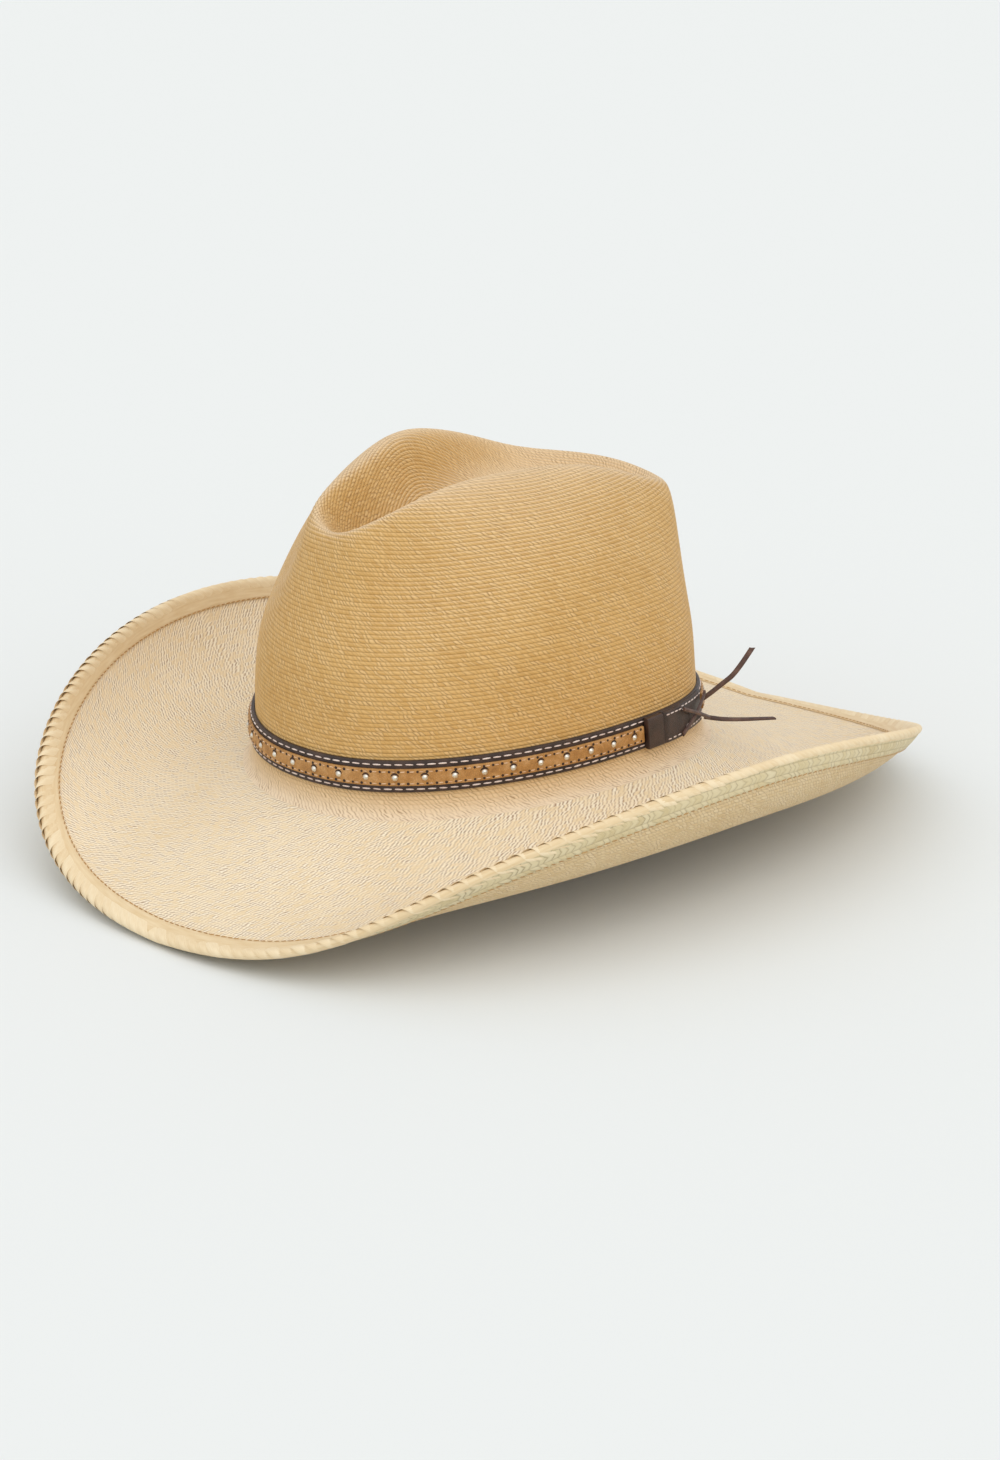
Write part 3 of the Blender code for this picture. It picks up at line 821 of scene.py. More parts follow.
    def even_angles(self, start: float, end: float, pitch: float, whole: int | None = None,
                    outside: float = 3.0 * MM) -> Array:
        """Angles that space things evenly along the wall.

        Args:
            start: First angle in degrees.
            end: Last angle in degrees.
            pitch: Wanted spacing in metres.
            whole: A fixed number of places instead of a spacing.
            outside: Distance of the row outside the break line.

        Returns:
            The angles in radians.
        """
        fine = np.radians(np.linspace(start, end, 1441))
        path = self.oval(fine) + self.outward(fine) * outside
        length = lengths(path)
        count = whole or max(2, round(length[-1] / pitch) + 1)
        return np.interp(np.linspace(0.0, length[-1], count), length, fine)

    def wall_frame(self, phi: Array) -> tuple[Array, Array]:
        """Direction along the wall and out of it.

        Args:
            phi: Angles, shaped (n,).

        Returns:
            Two arrays of unit vectors shaped (n, 3).
        """
        face = np.column_stack([self.outward(phi), np.zeros(len(phi))])
        along = np.column_stack([-face[:, 1], face[:, 0], np.zeros(len(phi))])
        return along, face


# ---------------------------------------------------------------- finishes

@dataclass(frozen=True)
class PalmPlait(Finish):
    """Bleached palm straw, split by hand, plaited and sewn in overlapping courses.

    The eye sees fine ridges, one for each course, crossed by slanted straws of slightly
    different gold, with small brown gaps where straws meet. The straws have a waxy, dull shine.
    """

    name: str
    pale: str
    body: str
    deep: str
    gap: str
    highlight_and_foot_tone: str = "#F1DFC2"            # painted highlight tone for faces that look up, also the pale tone of the foot
    weave: Weave = Weave.TWILL
    slant: float = 0.9              # straws passed from one side of a course to the other
    gap_line: float = 0.45          # how dark the line between courses is
    gap_spot: float = 0.85          # how dark the holes between straws are
    rare: float = 3.0               # how seldom such a hole stands open
    narrow: float = 1.0             # how narrow the holes are
    sway: float = 1.6               # how far the straws wander, in straws
    course_depth: float = 0.75      # how deep the lines between courses lie
    relief_mm: float = 0.34         # height of a straw over its gaps
    roughness: float = 0.58
    fibres: float = 9.0             # fibres that show across one straw
    blotch_mm: float = 38.0         # size of the soft stains of the palm leaf
    straw_tone: float = 0.22        # how much one straw differs from the next
    painted_top_highlight: float = 0.0             # how far faces that look up are painted paler, a painted highlight
    foot_courses: float = 0.0       # courses at the foot mixed to the pale brim tone; the golden left just below the band is painted contact shade

    def shader(self, tree: Tree) -> Node:
        """Add the nodes, which read the course coordinates of the piece."""
        uv = add_node(tree, "ShaderNodeUVMap", uv_map=COURSE_UV)
        place = add_node(tree, "ShaderNodeSeparateXYZ", {0: uv})
        across = calc(tree, "FRACT", place.outputs["Y"])
        along = self._along(tree, uv, place, across)
        straw_edge, course_edge = (self._edge(tree, share)
                                   for share in (calc(tree, "FRACT", along), across))
        own = add_node(tree, "ShaderNodeCombineXYZ", {
            0: calc(tree, "FLOOR", along), 1: calc(tree, "FLOOR", place.outputs["Y"])})
        chance = add_node(tree, "ShaderNodeTexWhiteNoise", {"Vector": own},
                          noise_dimensions="2D").outputs["Value"]
        fibre_place = add_node(tree, "ShaderNodeCombineXYZ", {
            0: calc(tree, "MULTIPLY", along, self.fibres), 1: place.outputs["Y"]})
        fibre = add_node(tree, "ShaderNodeTexNoise", {
            "Vector": fibre_place, "Scale": 1.0, "Detail": 2.0}, noise_dimensions="2D")
        # faces that look up are mixed to a pale tone: a painted highlight
        upward, kept = self._highlight_and_foot(tree, place)
        highlight_and_foot_mix = add_node(tree, "ShaderNodeMix", {
            0: upward, 6: self._straw_colour(tree, chance, fibre), 7: linear(self.highlight_and_foot_tone)},
            data_type="RGBA")
        hole = calc(tree, "MULTIPLY", calc(tree, "POWER", straw_edge, self.narrow),
                    calc(tree, "MULTIPLY_ADD", course_edge, -0.6, 1.0))
        open_share = calc(tree, "MULTIPLY_ADD", calc(tree, "POWER", chance, self.rare), 0.85,
                          0.15)
        line = calc(tree, "MULTIPLY", calc(tree, "POWER", course_edge, 3.0), kept)
        dark = calc(tree, "MULTIPLY_ADD", calc(tree, "MULTIPLY", hole, open_share),
                    self.gap_spot, calc(tree, "MULTIPLY", line, self.gap_line),
                    use_clamp=True)
        colour = add_node(tree, "ShaderNodeMix", {
            0: dark, 6: highlight_and_foot_mix.outputs[2], 7: linear(self.gap)}, data_type="RGBA")
        course_low = calc(tree, "MULTIPLY", calc(tree, "MULTIPLY", course_edge, kept),
                          self.course_depth)
        low = calc(tree, "MULTIPLY_ADD", straw_edge, 0.45, course_low)
        height = calc(tree, "MULTIPLY_ADD", fibre, 0.22, calc(tree, "SUBTRACT", 1.0, low))
        bump = add_node(tree, "ShaderNodeBump", {
            "Strength": 1.0, "Distance": self.relief_mm * MM, "Height": height})
        shine = calc(tree, "MULTIPLY_ADD", fibre, 0.2, self.roughness - 0.1)
        return add_node(tree, "ShaderNodeBsdfPrincipled", {
            "Base Color": colour.outputs[2], "Roughness": shine, "Normal": bump,
            "IOR": 1.45, "Specular IOR Level": 0.4})

    def _along(self, tree: Tree, uv: Node, place: Node, across: Node) -> Node:
        """Count straws along a course, with their slant and their wandering.

        Args:
            tree: The material's tree.
            uv: Course coordinates.
            place: The same, split in two.
            across: Place across the course, from 0 to 1.

        Returns:
            The node that counts straws.
        """
        lean = across
        if self.weave is Weave.CHEVRON:
            lean = calc(tree, "ABSOLUTE", calc(tree, "SUBTRACT", across, 0.5))
        sway = add_node(tree, "ShaderNodeTexNoise", {
            "Vector": uv, "Scale": 0.4, "Detail": 1.0}, noise_dimensions="2D")
        shifted = calc(tree, "MULTIPLY_ADD", sway, self.sway, place.outputs["X"])
        return calc(tree, "MULTIPLY_ADD", lean, self.slant, shifted)

    @staticmethod
    def _edge(tree: Tree, share: Node) -> Node:
        """Rise from 0 in the middle of a straw or course to 1 at its edges."""
        centred = calc(tree, "MULTIPLY_ADD", share, 2.0, -1.0)
        square = calc(tree, "MULTIPLY", centred, centred)
        return calc(tree, "MULTIPLY", square, square)

    def _highlight_and_foot(self, tree: Tree, place: Node) -> tuple[Node, Node | float]:
        """Find the share of painted highlight on faces that look up, with the pale foot, and how much of
        a course line is kept.

        Args:
            tree: The material's tree.
            place: Course coordinates, split in two.

        Returns:
            The share of painted highlight and foot pale, and the share of the course lines.
        """
        facing = add_node(tree, "ShaderNodeSeparateXYZ", {
            0: add_node(tree, "ShaderNodeNewGeometry").outputs["Normal"]})
        # painted highlight: the more a face looks up, the paler it is painted
        upward = add_node(tree, "ShaderNodeMapRange", {
            0: facing.outputs["Z"], 1: 0.35, 2: 1.0, 3: 0.0, 4: self.painted_top_highlight},
            interpolation_type="SMOOTHSTEP")
        if not self.foot_courses:
            return upward, 1.0
        # the foot is mixed to the pale tone and fades out below the band, where the crown's golden stands
        # for painted contact shade
        foot = add_node(tree, "ShaderNodeMapRange", {
            0: place.outputs["Y"], 1: 0.0, 2: self.foot_courses, 3: 0.95, 4: 0.0})
        return (calc(tree, "MAXIMUM", upward, foot),
                calc(tree, "MULTIPLY_ADD", foot, -1.0, 1.0))

    def _straw_colour(self, tree: Tree, chance: Socket, fibre: Node) -> Socket:
        """Mix the straw's colour from its own chance, its fibres and the leaf's stains.

        Args:
            tree: The material's tree.
            chance: A number of each straw's own.
            fibre: Fine streaks along the straw.

        Returns:
            The colour.
        """
        stain = add_node(tree, "ShaderNodeTexNoise", {
            "Vector": add_node(tree, "ShaderNodeTexCoord").outputs["Object"],
            "Scale": 1.0 / (self.blotch_mm * MM), "Detail": 3.0})
        stained = calc(tree, "MULTIPLY_ADD", stain, 0.25, 0.225 - 0.5 * self.straw_tone)
        streaked = calc(tree, "MULTIPLY_ADD", fibre, 0.30, stained)
        tone = calc(tree, "MULTIPLY_ADD", chance, self.straw_tone, streaked)
        return colour_ramp(tree, tone, ((0.12, self.deep), (0.46, self.body),
                                        (0.88, self.pale)))


@dataclass(frozen=True)
class Whipping(Finish):
    """Flat palm straws whipped round the brim's edge: pale, smooth, lightly streaked."""

    name: str
    pale: str
    deep: str
    streak_mm: float = 0.7
    roughness: float = 0.5

    def shader(self, tree: Tree) -> Node:
        """Add the nodes, which read strap coordinates and each straw's tone."""
        uv = add_node(tree, "ShaderNodeUVMap", uv_map=STRAP_UV)
        stretch = add_node(tree, "ShaderNodeMapping", {
            "Vector": uv, "Scale": (0.12 / self.streak_mm, 1.0 / self.streak_mm, 1.0)})
        streak = add_node(tree, "ShaderNodeTexNoise", {
            "Vector": stretch, "Scale": 1.0, "Detail": 2.0})
        tone = add_node(tree, "ShaderNodeAttribute", attribute_name=TONE)
        mixed = calc(tree, "MULTIPLY_ADD", tone.outputs["Fac"], 0.2,
                     calc(tree, "MULTIPLY_ADD", streak, 0.6, 0.15))
        colour = colour_ramp(tree, mixed, ((0.1, self.deep), (0.8, self.pale)))
        bump = add_node(tree, "ShaderNodeBump", {
            "Strength": 0.6, "Distance": 0.15 * MM, "Height": streak})
        return add_node(tree, "ShaderNodeBsdfPrincipled", {
            "Base Color": colour, "Roughness": self.roughness, "Normal": bump,
            "IOR": 1.45, "Specular IOR Level": 0.45})


@dataclass(frozen=True)
class Leather(Finish):
    """Drum-dyed cowhide with a waxed grain: fine pebbles, soft mottling, paler where rubbed."""

    name: str
    base: str
    rubbed: str
    deep: str
    grain_mm: float = 0.8
    mottle_mm: float = 7.0
    roughness: float = 0.46
    relief_mm: float = 0.08

    def shader(self, tree: Tree) -> Node:
        """Add the nodes, which read object coordinates."""
        place = add_node(tree, "ShaderNodeTexCoord").outputs["Object"]
        grain = add_node(tree, "ShaderNodeTexVoronoi", {
            "Vector": place, "Scale": 1.0 / (self.grain_mm * MM)}, feature="DISTANCE_TO_EDGE")
        crease = calc(tree, "MINIMUM", grain, 0.25)
        mottle = add_node(tree, "ShaderNodeTexNoise", {
            "Vector": place, "Scale": 1.0 / (self.mottle_mm * MM), "Detail": 4.0,
            "Roughness": 0.6})
        dyed = colour_ramp(tree, mottle, ((0.30, self.deep), (0.50, self.base),
                                          (0.72, self.rubbed)))
        pebble = calc(tree, "MULTIPLY", crease, 4.0)
        colour = add_node(tree, "ShaderNodeVectorMath", {
            0: dyed, "Scale": calc(tree, "MULTIPLY_ADD", pebble, 0.25, 0.75)},
            operation="SCALE")
        bump = add_node(tree, "ShaderNodeBump", {
            "Strength": 1.0, "Distance": self.relief_mm * MM, "Height": pebble})
        shine = calc(tree, "MULTIPLY_ADD", mottle, 0.24, self.roughness - 0.12)
        return add_node(tree, "ShaderNodeBsdfPrincipled", {
            "Base Color": colour, "Roughness": shine, "Normal": bump, "IOR": 1.5,
            "Specular IOR Level": 0.5, "Coat Weight": 0.08, "Coat Roughness": 0.35})


@dataclass(frozen=True)
class Thread(Finish):
    """Waxed twisted thread: slanted plies that show as fine stripes on each stitch."""

    name: str
    pale: str
    deep: str
    ply_mm: float = 0.5
    roughness: float = 0.6

    def shader(self, tree: Tree) -> Node:
        """Add the nodes, which read object coordinates and each stitch's tone."""
        place = add_node(tree, "ShaderNodeTexCoord").outputs["Object"]
        twist = add_node(tree, "ShaderNodeTexWave", {
            "Vector": place, "Scale": 0.3 / (self.ply_mm * MM), "Distortion": 1.5},
            bands_direction="DIAGONAL")
        tone = add_node(tree, "ShaderNodeAttribute", attribute_name=TONE)
        mixed = calc(tree, "MULTIPLY_ADD", twist.outputs["Fac"], 0.5,
                     calc(tree, "MULTIPLY", tone.outputs["Fac"], 0.5))
        colour = add_node(tree, "ShaderNodeMix", {
            0: mixed, 6: linear(self.deep), 7: linear(self.pale)}, data_type="RGBA")
        bump = add_node(tree, "ShaderNodeBump", {
            "Strength": 0.6, "Distance": 0.1 * MM, "Height": twist.outputs["Fac"]})
        return add_node(tree, "ShaderNodeBsdfPrincipled", {
            "Base Color": colour.outputs[2], "Roughness": self.roughness, "Normal": bump,
            "IOR": 1.5, "Sheen Weight": 0.2})


@dataclass(frozen=True)
class Metal(Finish):
    """Pressed metal, tumbled smooth: bright with faint dull patches from handling."""

    name: str
    bright: str
    dull: str
    roughness: float = 0.24
    patch_mm: float = 2.5

    def shader(self, tree: Tree) -> Node:
        """Add the nodes, which read object coordinates."""
        place = add_node(tree, "ShaderNodeTexCoord").outputs["Object"]
        patch = add_node(tree, "ShaderNodeTexNoise", {
            "Vector": place, "Scale": 1.0 / (self.patch_mm * MM), "Detail": 3.0})
        colour = add_node(tree, "ShaderNodeMix", {
            0: patch, 6: linear(self.bright), 7: linear(self.dull)}, data_type="RGBA")
        shine = calc(tree, "MULTIPLY_ADD", patch, 0.3, self.roughness - 0.1)
        return add_node(tree, "ShaderNodeBsdfPrincipled", {
            "Base Color": colour.outputs[2], "Roughness": shine, "Metallic": 1.0})


@dataclass(frozen=True)
class MattPaper(Finish):
    """Studio paper roll: one even pale tone with hardly any shine."""

    name: str
    tone: str

    def shader(self, tree: Tree) -> Node:
        """Add the paper's one node."""
        return add_node(tree, "ShaderNodeBsdfPrincipled", {
            "Base Color": linear(self.tone), "Roughness": 0.9, "Specular IOR Level": 0.1})


# ---------------------------------------------------------------- straw body

@dataclass
class StrawCrown:
    """Blocked crown of sewn plait, ridged course by course, with its smooth inner face."""

    form: HatForm
    columns: int = 264
    pitch: float = 1.85 * MM        # one course over the next
    straw_run: float = 2.1 * MM     # one straw along a course
    per_course: int = 3
    relief: tuple[float, ...] = (0.0, 1.0, 0.85)
    relief_height: float = 0.28 * MM
    inner_step: int = 8
    hand: float = 0.45 * MM         # unevenness left by hand blocking
    seed: int = 7

    def build(self, material: Material) -> Piece:
        """Make the crown.

        Args:
            material: Finish of the straw.

        Returns:
            The piece.
        """
        phi = math.pi + np.arange(self.columns) * TURN / self.columns
        points, courses, rows = self._course_rows(phi)
        normal = self._normals(points)
        away = points[:, :, 2] - self.form.height
        uneven = (np.sin(3.0 * phi + 1.3)[:, None] * np.sin(away / (17.0 * MM))
                  + 0.7 * np.sin(7.0 * phi + 0.4)[:, None] * np.sin(away / (11.0 * MM) + 2.0))
        points += normal * (self.hand * uneven * smoothstep(away, 0.028, 0.060)
                            * smoothstep(courses - rows, 1.0, 8.0)[None, :])[..., None]
        ridge = np.tile(self.relief, courses) - 0.5
        ridge = ridge * smoothstep(courses - rows, 0.5, 4.0) * smoothstep(rows, 1.0, 10.0)
        outer = points + normal * (self.relief_height * ridge)[None, :, None]
        inner = (points - normal * self.form.straw)[:, ::self.inner_step]
        centre = points[:, -1].mean(axis=0)
        mesh = self._closed_mesh(outer, inner, centre, rows, courses)
        return finished("straw_crown", mesh, material, Body.HAT, ("crown_shell",))

    def _course_rows(self, phi: Array) -> tuple[Array, int, Array]:
        """Points on the smooth crown along rows that follow the courses.

        Args:
            phi: Angles of the columns.

        Returns:
            Points shaped (columns, rows, 3), the number of courses, and each row's course
            coordinate.
        """
        profile = self.form.crown_profile(phi, 1201)
        step = np.linalg.norm(np.diff(profile, axis=1), axis=2)
        length = np.hstack([np.zeros((len(phi), 1)), np.cumsum(step, axis=1)])
        share = length / length[:, -1:]
        courses = round(float(length[:, -1].mean()) / self.pitch)
        closing = smoothstep(share, 0.35, 1.0)
        course = length / self.pitch * (1.0 - closing) + courses * share * closing
        rows = np.arange(courses * self.per_course) / self.per_course
        points = np.zeros((len(phi), len(rows), 3))
        for i in range(len(phi)):
            for axis in range(3):
                points[i, :, axis] = np.interp(rows, course[i], profile[i, :, axis])
        return points, courses, rows

    @staticmethod
    def _normals(points: Array) -> Array:
        """Outward unit normals of a grid that closes around its columns."""
        around = np.roll(points, -1, axis=0) - np.roll(points, 1, axis=0)
        return unit(np.cross(around, np.gradient(points, axis=1)))

    def _closed_mesh(self, outer: Array, inner: Array, centre: Array, rows: Array,
                     courses: int) -> Mesh:
        """Join the outer face, the inner face and the foot into one closed mesh.

        Args:
            outer: Ridged outer points.
            inner: Inner points at every few rows.
            centre: Middle of the hollow's floor.
            rows: Course coordinate of each outer row.
            courses: Number of courses.

        Returns:
            The mesh.
        """
        columns, count, _ = outer.shape
        deep = inner.shape[1]
        rng = np.random.default_rng(self.seed)
        girth = girths(outer[:, self.per_course // 2::self.per_course])
        straws = np.maximum(4, np.round(girth / self.straw_run))
        phase = rng.random(len(straws))
        around = lengths(self.form.oval(math.pi + np.arange(columns + 1) * TURN / columns))
        around /= around[-1]
        start = columns * count
        outside = patch_faces(columns, count, 0)
        inside = patch_faces(columns, deep, start)[:, ::-1]
        uv = [patch_uv(around, rows, straws, phase).reshape(-1, 2),
              patch_uv(around, rows[::self.inner_step], straws,
                       phase)[:, ::-1].reshape(-1, 2)]
        faces = outside.tolist() + inside.tolist()
        poles = (start + columns * deep, start + columns * deep + 1)
        for i in range(columns):
            j = (i + 1) % columns
            faces.append([j * count, i * count, start + i * deep, start + j * deep])
            faces.append([i * count + count - 1, j * count + count - 1, poles[0]])
            faces.append([start + j * deep + deep - 1, start + i * deep + deep - 1, poles[1]])
            low, high = around[i] * straws[0], around[i + 1] * straws[0]
            uv.append(np.array([(high, 0.0), (low, 0.0), (low, -0.8), (high, -0.8),
                                (low, courses), (high, courses), (low, courses + 0.2),
                                (high, courses), (low, courses), (high, courses + 0.2)]))
        vertices = np.concatenate([outer.reshape(-1, 3), inner.reshape(-1, 3),
                                   [centre, centre - (0.0, 0.0, self.form.straw)]])
        return sheet_mesh("straw_crown", vertices, faces, np.concatenate(uv), COURSE_UV)


@dataclass
class StrawBrim:
    """Rolled brim of the same plait, ridged on its upper face and underside."""

    form: HatForm
    columns: int = 276
    pitch: float = 1.85 * MM
    straw_run: float = 1.9 * MM
    per_course: int = 3
    relief: tuple[float, ...] = (0.0, 1.0, 0.85)
    relief_height: float = 0.06 * MM
    seed: int = 11

    def surface(self, phi: Array, distances: Array) -> tuple[Array, Array]:
        """Points and upward normals of the brim's upper face.

        Args:
            phi: Angles, shaped (n,).
            distances: Distances from the break, shaped (n, m).

        Returns:
            Two arrays shaped (n, m, 3).
        """
        small = 0.4 * MM
        points = self.form.brim_points(phi, distances)
        inward = self.form.brim_points(phi, distances - small)
        step = 2e-3
        ahead = self.form.brim_points(phi + step, distances)
        behind = self.form.brim_points(phi - step, distances)
        return points, unit(np.cross(points - inward, ahead - behind))

    def build(self, material: Material) -> Piece:
        """Make the brim.

        Args:
            material: Finish of the straw.

        Returns:
            The piece.
        """
        phi = math.pi + np.arange(self.columns) * TURN / self.columns
        width = self.form.brim_width(phi)
        start = self.form.foot
        courses = round(float(width.mean() - start) / self.pitch)
        rows = np.arange(courses * self.per_course + 1) / self.per_course
        distances = start + (width[:, None] - start) * (rows / courses)[None, :]
        points, normal = self.surface(phi, distances)
        ridge = np.append(np.tile(self.relief, courses), self.relief[0]) - 0.5
        ridge = (ridge * self.relief_height)[None, :, None]
        upper = (points + normal * ridge)[:, ::-1]
        lower = points - normal * (self.form.straw + ridge)
        loop = np.concatenate([upper, lower], axis=1)
        beyond = courses + 2
        v = np.concatenate([rows[::-1], beyond + rows, [rows[-1]]])
        girth = girths(points[:, self.per_course // 2::self.per_course])
        straws = np.round(girth / self.straw_run)
        straws = np.concatenate([straws, straws[-1:], straws[-1:], straws])
        phase = np.random.default_rng(self.seed).random(len(straws))
        around = np.arange(self.columns + 1) / self.columns
        faces = patch_faces(self.columns, loop.shape[1], 0, wrap_rows=True)
        uv = patch_uv(around, v, straws, phase)
        mesh = sheet_mesh("straw_brim", loop.reshape(-1, 3), faces.tolist(),
                          uv.reshape(-1, 2), COURSE_UV)
        under = np.zeros(loop.shape[:2], dtype=int)
        under[:, len(rows):-1] = 1
        self.under_faces = under.reshape(-1)
        return finished("straw_brim", mesh, material, Body.HAT, ("brim",))

    def line_underside(self, piece: Piece, material: Material) -> None:
        """Give the underside a darker copy of the same straw, which paints the shade under the brim.

        Args:
            piece: The brim.
            material: Finish of the underside.
        """
        piece.data.materials.append(material)
        piece.data.polygons.foreach_set("material_index", self.under_faces)


@dataclass
class EdgeBinding:
    """Leaf of palm folded over the brim's edge, whipped with flat straws and sewn down."""

    form: HatForm
    brim: StrawBrim
    repeater: Repeater
    columns: int = 420
    leaf: float = 7.8 * MM
    top_gap: float = 0.3 * MM
    thick: float = 0.5 * MM
    reach: float = 2.4 * MM         # fold's reach past the brim's edge
    whip_pitch: float = 6.0 * MM
    whip_leaf: float = 3.9 * MM
    whip_slant: float = -11.0 * MM
    stitch_pitch: float = 3.3 * MM
    straw_run: float = 3.4 * MM

    def build(self, leaf: Material, plait: Material, whip: Material, thread: Material) -> None:
        """Make the fold, the whipping and the two rows of stitches.

        Args:
            leaf: Finish of the folded leaf.
            plait: Finish of the plait under the brim.
            whip: Finish of the whipping straws.
            thread: Finish of the stitches.
        """
        self._fold(leaf, plait)
        phi = self._even(self.whip_pitch, 0.0)
        edge, out, normal = self._edge(phi, 0.0)
        shape = SmallShapes.wrap(self.whip_pitch, self.whip_leaf, self.whip_slant,
                                 0.5 * self.form.straw + self.top_gap + 0.95 * self.thick,
                                 self.reach + 0.1 * MM, 0.08 * MM)
        mesh = self.repeater.row("edge_whipping", shape,
                                 edge - normal * 0.5 * self.form.straw,
                                 -np.cross(normal, out), normal, whip, 21, 0.03, 0.03)
        finished("edge_whipping", mesh, whip, Body.HAT, ())
        stitch = SmallShapes.lens(2.7 * MM, 0.6 * MM, 0.5 * MM)
        over = self.top_gap + self.thick
        for name, side, seed in (("hem_stitches_upper", over, 31),
                                 ("hem_stitches_lower", -self.form.straw - over, 32)):
            phi = self._even(self.stitch_pitch, self.leaf)
            place, out, normal = self._edge(phi, self.leaf - 0.5 * MM)
            mesh = self.repeater.row(name, stitch, place + normal * (side * 0.97),
                                     np.cross(normal, out), normal * np.sign(side), thread,
                                     seed, 0.1, 0.08)
            finished(name, mesh, thread, Body.HAT)

    def _edge(self, phi: Array, inset: float) -> tuple[Array, ...]:
        """Point, outward direction and upward normal at an inset from the brim's edge."""
        distance = (self.form.brim_width(phi) - inset)[:, None]
        points, normal = self.brim.surface(phi, distance)
        inner, _ = self.brim.surface(phi, distance - 1.0 * MM)
        return points[:, 0], unit(points[:, 0] - inner[:, 0]), normal[:, 0]

    def _even(self, pitch: float, inset: float) -> Array:
        """Angles that space things evenly around the brim at an inset."""
        fine = np.linspace(0.0, TURN, 2161)
        edge = self.form.brim_points(fine, (self.form.brim_width(fine) - inset)[:, None])[:, 0]
        length = lengths(edge)
        count = round(length[-1] / pitch)
        return np.interp(np.arange(count) * length[-1] / count, length, fine)

    def _fold(self, leaf: Material, plait: Material) -> None:
        """Make the folded leaf as one closed ring with the plait on its lower face.

        Args:
            leaf: Finish of the upper leaf and the fold.
            plait: Finish of the lower leaf.
        """
        phi = math.pi + np.arange(self.columns) * TURN / self.columns
        insets = np.array([1.0, 0.97, 0.75, 0.5, 0.25, 0.0]) * self.leaf
        round_in = np.array([0.15, 0.85, 1.0, 1.0, 0.95, 0.9])
        width = self.form.brim_width(phi)
        points, normal = self.brim.surface(phi, width[:, None] - insets[None, :])
        _, out, up = self._edge(phi, 0.0)
        base = points[:, -1]
        above = self.top_gap + self.thick * round_in
        below = -self.form.straw - above
        middle, half = -0.5 * self.form.straw, 0.5 * self.form.straw + above[-1]
        rows = [points[:, k] + normal[:, k] * above[k] for k in range(len(insets))]
        for a in np.linspace(0.0, math.pi, 8)[1:-1]:
            rows.append(base + out * (self.reach * math.sin(a))
                        + up * (middle + half * math.cos(a)))
        split = len(rows)
        rows += [points[:, k] + normal[:, k] * below[k] for k in range(len(insets))[::-1]]
        lower_end = len(rows)
        inner_low = -self.form.straw - 0.6 * self.top_gap
        rows += [points[:, k] + normal[:, k] * inner_low for k in (0, 3, 5)]
        rows.append(base + out * (self.reach - self.thick) + up * middle)
        rows += [points[:, k] + normal[:, k] * (0.6 * self.top_gap) for k in (5, 3, 0)]
        loop = np.stack(rows, axis=1)
        faces = patch_faces(self.columns, loop.shape[1], 0, wrap_rows=True)[:, ::-1]
        around = lengths(np.concatenate([loop[0], loop[0][:1]]))
        girth = girths(base[:, None])[0]
        share = np.arange(self.columns + 1) / self.columns
        course = around / (0.5 * self.leaf)
        uv = patch_uv(share, course, np.array([round(girth / self.straw_run)]),
                      np.zeros(1))[:, ::-1]
        mesh = sheet_mesh("edge_fold", loop.reshape(-1, 3), faces.tolist(),
                          uv.reshape(-1, 2), COURSE_UV)
        flat = patch_uv(share, around / MM, np.array([girth / MM]), np.zeros(1))[:, ::-1]
        layer = mesh.uv_layers.new(name=STRAP_UV)
        layer.data.foreach_set("uv", flat.astype(np.float32).ravel())
        piece = finished("edge_fold", mesh, leaf, Body.HAT, ("brim_edge_plait",))
        piece.data.materials.append(plait)
        lower = np.zeros((self.columns, loop.shape[1]), dtype=int)
        lower[:, split:lower_end] = 1
        piece.data.polygons.foreach_set("material_index", lower.reshape(-1))


# ---------------------------------------------------------------- leather

@dataclass
class SweatBand:
    """Leather sweatband inside the crown, with the tape sewn under its lower edge."""

    form: HatForm
    repeater: Repeater
    columns: int = 216
    thick: float = 1.0 * MM
    height: float = 34.0 * MM
    tape_width: float = 3.0 * MM
    tape_height: float = 2.0 * MM
    gap: float = 0.35 * MM

    def build(self, leather: Material, tape: Material, thread: Material) -> None:
        """Make the band, its tape and its row of stitches.

        Args:
            leather: Finish of the sweatband.
            tape: Finish of the tape.
            thread: Finish of the stitches.
        """
        face = -self.form.straw - 2.0 * self.gap
        base = self.form.height - 1.0 * MM
        low = base + self.tape_height + self.gap
        ring = strap_section(low, base + self.height, 0.0, self.thick, 0.3 * MM)
        mesh = swept_mesh("sweat_leather", self._ring(ring[:, 0], face - ring[:, 1]), True)
        finished("sweat_leather", mesh, leather, Body.HAT, ("sweatband",))
        ring = strap_section(base, base + self.tape_height, 0.0, self.tape_width, 0.5 * MM,
                             steps=2, across=3)
        mesh = swept_mesh("sweat_tape", self._ring(ring[:, 0], face - ring[:, 1]), True)
        finished("sweat_tape", mesh, tape, Body.HAT, ("sweatband_tape",))
        phi = self.form.even_angles(0.0, 357.8, 3.8 * MM)
        height = np.full(1, low + 2.0 * MM)
        places = self._ring(height, np.full(1, face - self.thick), phi)[:, 0]
        along, out = self.form.wall_frame(phi)
        stitch = SmallShapes.lens(2.9 * MM, 0.6 * MM, 0.5 * MM)
        mesh = self.repeater.row("sweat_stitches", stitch, places, along, -out, thread, 41,
                                 0.08, 0.05)
        finished("sweat_stitches", mesh, thread, Body.HAT)

    def _ring(self, heights: Array, distances: Array, phi: Array | None = None) -> Array:
        """Points at level heights above the table inside the crown wall.

        Args:
            heights: Heights above the table.
            distances: Distances outside the wall.
            phi: Angles, or None for the whole ring.

        Returns:
            Points shaped (angles, heights, 3).
        """
        if phi is None:
            phi = np.arange(self.columns) * TURN / self.columns
        rise = heights[None, :] - self.form.level(phi)[:, None]
        points = self.form.wall(phi, np.maximum(rise, 9.0 * MM), distances)
        points[:, :, 2] = heights
        return points


